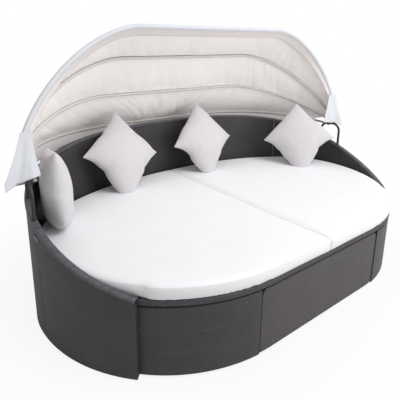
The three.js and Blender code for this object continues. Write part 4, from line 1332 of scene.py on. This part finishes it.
class DAYBED_OT_stretch_canopy(bpy.types.Operator):
    """Stretches the canopy's panels from hoop to hoop, with their sleeves and loose rear edge"""

    bl_idname = "daybed.stretch_canopy"
    bl_label = "Stretch the canopy"

    def execute(self, context):
        # Each panel's hoops ahead and behind, their bodies, and the seed of its creases
        panels = {
            "cloth_front": ("front", "second", "front_hoop", "second_hoop", 2.0),
            "cloth_middle": ("second", "third", "second_hoop", "third_hoop", 11.0),
            "cloth_rear": ("third", "rear", "third_hoop", "daybed", 23.0),
        }
        sizes = context.scene.daybed_canopy
        for name, (ahead, behind, ahead_body, behind_body, seed) in panels.items():
            first, second = hoops[ahead], hoops[behind]
            bare, creased = canopy_grids(first, second, sizes.crease, sizes.pucker, seed)
            panel = cloth_object(f"canopy_{name}", creased)
            dress(panel, finish("canopy_cloth"), None, "canopy_cloth", name)
            flat, carriers = (middle_run(bare), run(bare[0])), [f"hoop_{ahead}", f"hoop_{behind}"]
            start, end = second.at(0.5), first.at(0.5)
            near, far = start.lerp(end, fold_share), start.lerp(end, 1 - fold_share)
            tuple(near)
            tuple(far)
            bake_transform(panel)
        # Each sleeve's body, radius at the crown, depth of its tail, and cloth
        sleeves = {
            "front": ("front_hoop", 0.0093, 0.015, "cool_shaded_hem_cloth"),
            "second": ("second_hoop", 0.0079, 0.0085, "shaded_pocket_cloth"),
            "third": ("third_hoop", 0.0079, 0.0085, "shaded_pocket_cloth"),
            "rear": ("daybed", 0.0085, 0.012, "shaded_pocket_cloth"),
        }
        for name, (body, radius, tail, material) in sleeves.items():
            hoop = hoops[name]
            grid = sleeve_grid(hoop, radius, tail)
            sleeve = cloth_object(f"sleeve_{name}", grid, thickness=0.0008)
            dress(sleeve, finish(material), body, "canopy_cloth")
            flat = (middle_run(grid), run(grid[len(grid) // 2]))
        strip = rear_strip()
        rear = cloth_object("hanging_rear_strip", strip)
        dress(rear, finish("canopy_cloth"), "daybed", "canopy_cloth")
        flat = (run([row[0] for row in strip]), run(strip[0]))
        return {"FINISHED"}


def rear_strip():
    """The rear panel's loose edge, which hangs behind the shell and is longest at the sides."""
    hoop = hoops["rear"]
    start, rows, wave_size = 0.08, 6, 6
    least, middle_fall, side_fall, side_power, wave_depth = 0.0075, 0.015, 0.078, 1.3, 0.003
    grid = []
    for i in range(rows + 1):
        row = []
        for k, share in enumerate(even_shares(hoop, start, 1 - start, cloth_step)):
            side = abs(share - 0.5) / (0.5 - start)
            drop = least + (middle_fall + side_fall * side**side_power) * i / rows
            wave = wave_depth * i / rows * ripple(k / wave_size, i / rows, 21)
            row.append(hoop.at(share, wave) - Vector((0, 0, drop)))
        grid.append(row)
    return grid


def canopy_grids(first, second, crease, pucker, seed):
    """A panel's points from hoop to hoop, first as it was cut and then with its creases."""
    shares = even_shares(first, cloth_start, 1 - cloth_start, cloth_step)
    rows, sag_share = 26, 0.045
    flat_edge, pucker_reach, pucker_edge = 0.03, 0.022, 0.004
    bare, creased = [], []
    runs = [0.0]
    for a, b in zip(shares, shares[1:]):
        runs.append(runs[-1] + (first.at(b) - first.at(a)).length)
    for i in range(rows + 1):
        across = i / rows
        plain_row, creased_row = [], []
        for share, u in zip(shares, runs):
            front, rear = first.at(share, cloth_stand_off), second.at(share, cloth_stand_off)
            inwards = (first.at(share) + second.at(share) - front - rear).normalized()
            span = (rear - front).length
            sag = sag_share * span * 4 * across * (1 - across)
            point = front.lerp(rear, across) + inwards * sag
            plain_row.append(point)
            edge = min(across, 1 - across) * span
            height = crease * min(1.0, edge / flat_edge) * creases(u, span * across, seed)
            gather = pucker * math.exp(-edge / pucker_reach) * min(1.0, edge / pucker_edge)
            height += gather * puckers(u, seed, across)
            creased_row.append(point - inwards * height)
        bare.append(plain_row)
        creased.append(creased_row)
    return bare, creased


def creases(u, v, seed):
    """Long soft creases that run from hoop to hoop, some of them slanting."""
    slope, back_slope, sharpness = 0.55, 0.7, 3.2
    broad_share, ridge_share, fine_share = 0.9, 1.1, 0.5
    broad_size, slant_size, fine_size, amount_size = (0.17, 0.5), (0.085, 0.32), (0.05, 0.16), (0.4, 0.3)
    broad = ripple(u / broad_size[0], v / broad_size[1], seed)
    slant = ripple((u + slope * v) / slant_size[0], v / slant_size[1], seed + 5)
    fine = ripple((u - back_slope * v) / fine_size[0], v / fine_size[1], seed + 9)
    ridge = (1 - min(1.0, abs(slant) * sharpness)) ** 2
    amount = 0.5 + 0.5 * ripple(u / amount_size[0], v / amount_size[1], seed + 13)
    return broad_share * broad + amount * (ridge_share * ridge + fine_share * fine)


def puckers(u, seed, across):
    """Short gathers at a seam."""
    size = 0.016
    return ripple(u / size, seed + (7 if across > 0.5 else 3), 0)


def sleeve_grid(hoop, crown_radius, tail):
    """The pocket that the hoop runs through: round the tube, and flat down to its seam."""
    start, step, opening, turn_steps, loose_size = cloth_start * 0.7, 0.014, 150, 14, 2.2
    widens_after, widens_over, looseness, half_seam = 0.1, 0.15, 0.05, 0.0007
    shares = even_shares(hoop, start, 1 - start, step)
    turns = [math.radians(opening - 2 * opening * i / turn_steps) for i in range(turn_steps + 1)]
    grid = [[] for _ in range(len(turns) + 2)]
    for k, share in enumerate(shares):
        across, up = hoop.flat_place(share)
        from_foot = math.hypot(hoop.width - abs(across), up)
        wide = min(max((from_foot - widens_after) / widens_over, 0), 1)
        radius = sleeve_foot_radius + (crown_radius - sleeve_foot_radius) * wide
        loose = 1 + looseness * wide * ripple(k / loose_size, 0.5, hoop.reach * 40)
        depth = radius + (tail - crown_radius) * wide
        grid[0].append(hoop.at(share, -depth, half_seam))
        for row, angle in zip(grid[1:-1], turns):
            row.append(hoop.at(share, radius * loose * math.cos(angle), radius * loose * math.sin(angle)))
        grid[-1].append(hoop.at(share, -depth, -half_seam))
    return grid


class DAYBED_OT_hang_hem(bpy.types.Operator):
    """Hangs the front hem and the two end flaps from the front hoop"""

    bl_idname = "daybed.hang_hem"
    bl_label = "Hang the hem and the flaps"

    def execute(self, context):
        sizes = context.scene.daybed_canopy
        front = hoops["front"]
        shares = even_shares(front, cloth_start, 1 - cloth_start, cloth_step)
        rows, foot_share, growth = 8, 0.3, 1.5
        most_back, back_share, back_start = 0.85, 0.1, 0.02
        tube_inside, wave_depth, wave_size, stand_off = 0.01, 0.004, 7, Vector((0, 0.001, 0))
        grid = []
        for i in range(rows + 1):
            share_down = i / rows
            row = []
            for k, share in enumerate(shares):
                across, up = front.flat_place(share)
                height = min(1.0, math.hypot(front.width - abs(across), up) / front.reach)
                drop = sizes.hem_depth * (foot_share + (1 - foot_share) * height**growth)
                back = min(most_back * drop, max(0.0, back_share * height * front.reach - back_start))
                inward = math.sqrt(drop**2 - back**2) * share_down
                wave = wave_depth * height * share_down * ripple(k / wave_size, share_down, 4)
                row.append(front.at(share, -tube_inside - inward, wave - back * share_down))
            grid.append(row)
        # The hanging hem carries painted shade in its colour
        hem = cloth_object("hanging_hem", grid)
        dress(hem, finish("shaded_band_cloth"), "front_hoop", "canopy_cloth", "front_hem")
        flat = (middle_run(grid), run(grid[0]))
        line = [point - stand_off for point in grid[rows - 1]]
        sewn, thread, stitch_pitch = stitch(size=0.004, thickness=0.0005), finish("thread"), 0.0062
        rides = ("front_hoop", "canopy_cloth")
        set_along("hem_stitches", [line], sewn, stitch_pitch, thread, *rides, looseness=0.1, seed=7)
        for name, side in (("right", 1), ("left", -1)):
            folded = flap_grid(side, sizes.flap_fold)
            flap = cloth_object(f"hanging_flap_{name}", folded)
            dress(flap, finish("cool_shaded_hem_cloth"), "front_hoop", "canopy_cloth", f"flap_{name}")
            flat = (run(folded[-1]), middle_run(folded))
        return {"FINISHED"}


def flap_grid(side, depth):
    """A loose corner of cloth that widens downwards and falls into folds."""
    front = hoops["front"]
    top, bottom, top_width, inside_foot, outside_foot, gap = 0.21, 0.018, 0.046, 1.03, 1.178, 0.009
    corner_drop, corner_power = 0.042, 1.6
    growth, widest_fall = 1.25, 0.86
    folds, fold_drift, drift_turns, crumple = 1.5, 0.5, 2.4, 0.006
    if side > 0:
        inside_foot, top_width = inside_foot - 0.055, 0.078
    top_inside = front.width_at(top) - top_width / 2
    top_outside = front.width_at(top) + top_width / 2
    rows, columns = 36, 48
    grid = []
    for i in range(rows + 1):
        fall = i / rows
        spread = fall**growth
        inside = top_inside + (inside_foot - top_inside) * spread
        outside = top_outside + (outside_foot - top_outside) * min(1.0, fall / widest_fall) ** growth
        row = []
        for j in range(columns + 1):
            across = j / columns
            drift = fold_drift * math.sin(drift_turns * fall)
            fold = 0.5 - 0.5 * math.cos(across * folds * 2 * math.pi + drift)
            small = ripple(across * 5, fall * 1.6, side * 3.0)
            x = inside + (outside - inside) * across
            z = top + (bottom - top) * fall - corner_drop * fall * across**corner_power
            forward = gap + depth * spread * fold + crumple * spread * small
            row.append(front.lift(side * x, forward, z))
        grid.append(row)
    return grid


class DAYBED_OT_light_stage(bpy.types.Operator):
    """Sets the floor, the light and the camera"""

    bl_idname = "daybed.light_stage"
    bl_label = "Light the stage"

    def execute(self, context):
        scene = context.scene
        sizes = scene.daybed_stage
        size = 30
        corners = [(-size, -size, 0), (size, -size, 0), (size, size, 0), (-size, size, 0)]
        floor = mesh_object("studio_floor", corners, [(0, 1, 2, 3)])
        floor.data.materials.append(floor_finish())
        world = scene.world or bpy.data.worlds.new("Studio")
        scene.world = world
        world.use_nodes = True
        tree = world.node_tree
        tree.nodes.clear()
        path = node(tree, "ShaderNodeLightPath")
        seen = maths(tree, "ADD", path.outputs["Is Camera Ray"], path.outputs["Is Glossy Ray"])
        seen = maths(tree, "MINIMUM", maths(tree, "ADD", seen, path.outputs["Is Transmission Ray"]), 1)
        room = node(tree, "ShaderNodeBackground", {"Color": (1, 1, 1, 1), "Strength": sizes.ambient})
        white = node(tree, "ShaderNodeBackground", {"Color": (1, 1, 1, 1), "Strength": 1.0})
        mixed = node(tree, "ShaderNodeMixShader", {0: seen, 1: room.outputs[0], 2: white.outputs[0]})
        node(tree, "ShaderNodeOutputWorld", {0: mixed.outputs[0]})
        lamp("key_lamp", (0.7, -2.4, 3.9), target=(0.1, 0.1, 0.4), size=2.6, power=sizes.key)
        lamp("fill_lamp", (1.6, -3.8, 1.2), target=(0.1, 0, 0.7), size=2.4, power=sizes.fill)
        set_camera()
        scene.view_settings.view_transform = "Standard"
        return {"FINISHED"}


def floor_finish():
    """White ground that keeps the daybed's shadow and meets the white background."""
    material = bpy.data.materials.new("Studio floor")
    material.use_nodes = True
    tree = material.node_tree
    tree.nodes.clear()
    matt = node(tree, "ShaderNodeBsdfDiffuse", {"Color": (0.9, 0.9, 0.9, 1)})
    glow = node(tree, "ShaderNodeEmission", {"Color": (1, 1, 1, 1), "Strength": 1.0})
    path = node(tree, "ShaderNodeLightPath")
    place = coordinates(tree, "Object")
    away = node(tree, "ShaderNodeVectorMath", {0: place}, operation="LENGTH").outputs["Value"]
    near, far, near_share = 0.9, 1.7, 0.85
    fade = {0: away, 1: near, 2: far, 3: near_share, 4: 1.0}
    clear = node(tree, "ShaderNodeMapRange", fade).outputs[0]
    share = maths(tree, "MULTIPLY", path.outputs["Is Camera Ray"], clear)
    mixed = node(tree, "ShaderNodeMixShader", {0: share, 1: matt.outputs[0], 2: glow.outputs[0]})
    node(tree, "ShaderNodeOutputMaterial", {0: mixed.outputs[0]})
    return material


def lamp(name, place, target, size, power):
    light = bpy.data.lights.new(name, "AREA")
    light.size = size
    light.energy = power
    thing = added(name, light)
    thing.location = place
    thing.rotation_euler = (Vector(target) - Vector(place)).to_track_quat("-Z", "Y").to_euler()


def set_camera():
    """The photograph's view: where it was taken from, and how it was turned and framed."""
    place = Vector((-1.570, -1.7153, 1.298))
    yaw, pitch, roll = math.radians(39.48), math.radians(15.25), math.radians(0.86)
    camera = bpy.data.cameras.new("Camera")
    camera.sensor_width = 36
    camera.lens = 37.85
    camera.shift_x = -0.0142
    camera.shift_y = -0.1205
    thing = added("Camera", camera)
    turn = (
        Matrix.Rotation(-yaw, 4, "Z")
        @ Matrix.Rotation(math.pi / 2 - pitch, 4, "X")
        @ Matrix.Rotation(roll, 4, "Z")
    )
    thing.matrix_world = Matrix.Translation(place) @ turn
    bpy.context.scene.camera = thing


class DAYBED_PT_panel(bpy.types.Panel):
    """Lists the steps that dress the daybed"""

    bl_idname = "DAYBED_PT_panel"
    bl_label = "Daybed"
    bl_space_type = "VIEW_3D"
    bl_region_type = "UI"
    bl_category = "Daybed"

    def draw(self, context):
        for sizes in ("daybed_wicker", "daybed_cushions", "daybed_canopy", "daybed_stage"):
            group_of_sizes = getattr(context.scene, sizes)
            box = self.layout.box()
            for name in group_of_sizes.__annotations__:
                box.prop(group_of_sizes, name)
        for step in steps:
            self.layout.operator(step.bl_idname)


steps = (
    DAYBED_OT_finish_frame,
    DAYBED_OT_weave_panels,
    DAYBED_OT_wind_rails,
    DAYBED_OT_bend_brackets,
    DAYBED_OT_lay_mattresses,
    DAYBED_OT_set_pillows,
    DAYBED_OT_stretch_canopy,
    DAYBED_OT_hang_hem,
    DAYBED_OT_light_stage,
)
size_groups = {
    "daybed_wicker": WickerSizes,
    "daybed_cushions": CushionSizes,
    "daybed_canopy": CanopySizes,
    "daybed_stage": StageSizes,
}


def register():
    for group_of_sizes in size_groups.values():
        bpy.utils.register_class(group_of_sizes)
    for step in steps:
        bpy.utils.register_class(step)
    bpy.utils.register_class(DAYBED_PT_panel)
    for name, group_of_sizes in size_groups.items():
        setattr(bpy.types.Scene, name, PointerProperty(type=group_of_sizes))


def unregister():
    for name in size_groups:
        delattr(bpy.types.Scene, name)
    bpy.utils.unregister_class(DAYBED_PT_panel)
    for step in reversed(steps):
        bpy.utils.unregister_class(step)
    for group_of_sizes in size_groups.values():
        bpy.utils.unregister_class(group_of_sizes)


def main():
    """Dresses the daybed step by step."""
    register()
    bpy.ops.daybed.finish_frame()
    bpy.ops.daybed.weave_panels()
    bpy.ops.daybed.wind_rails()
    bpy.ops.daybed.bend_brackets()
    bpy.ops.daybed.lay_mattresses()
    bpy.ops.daybed.set_pillows()
    bpy.ops.daybed.stretch_canopy()
    bpy.ops.daybed.hang_hem()
    bpy.ops.daybed.light_stage()


if __name__ == "__main__":
    main()
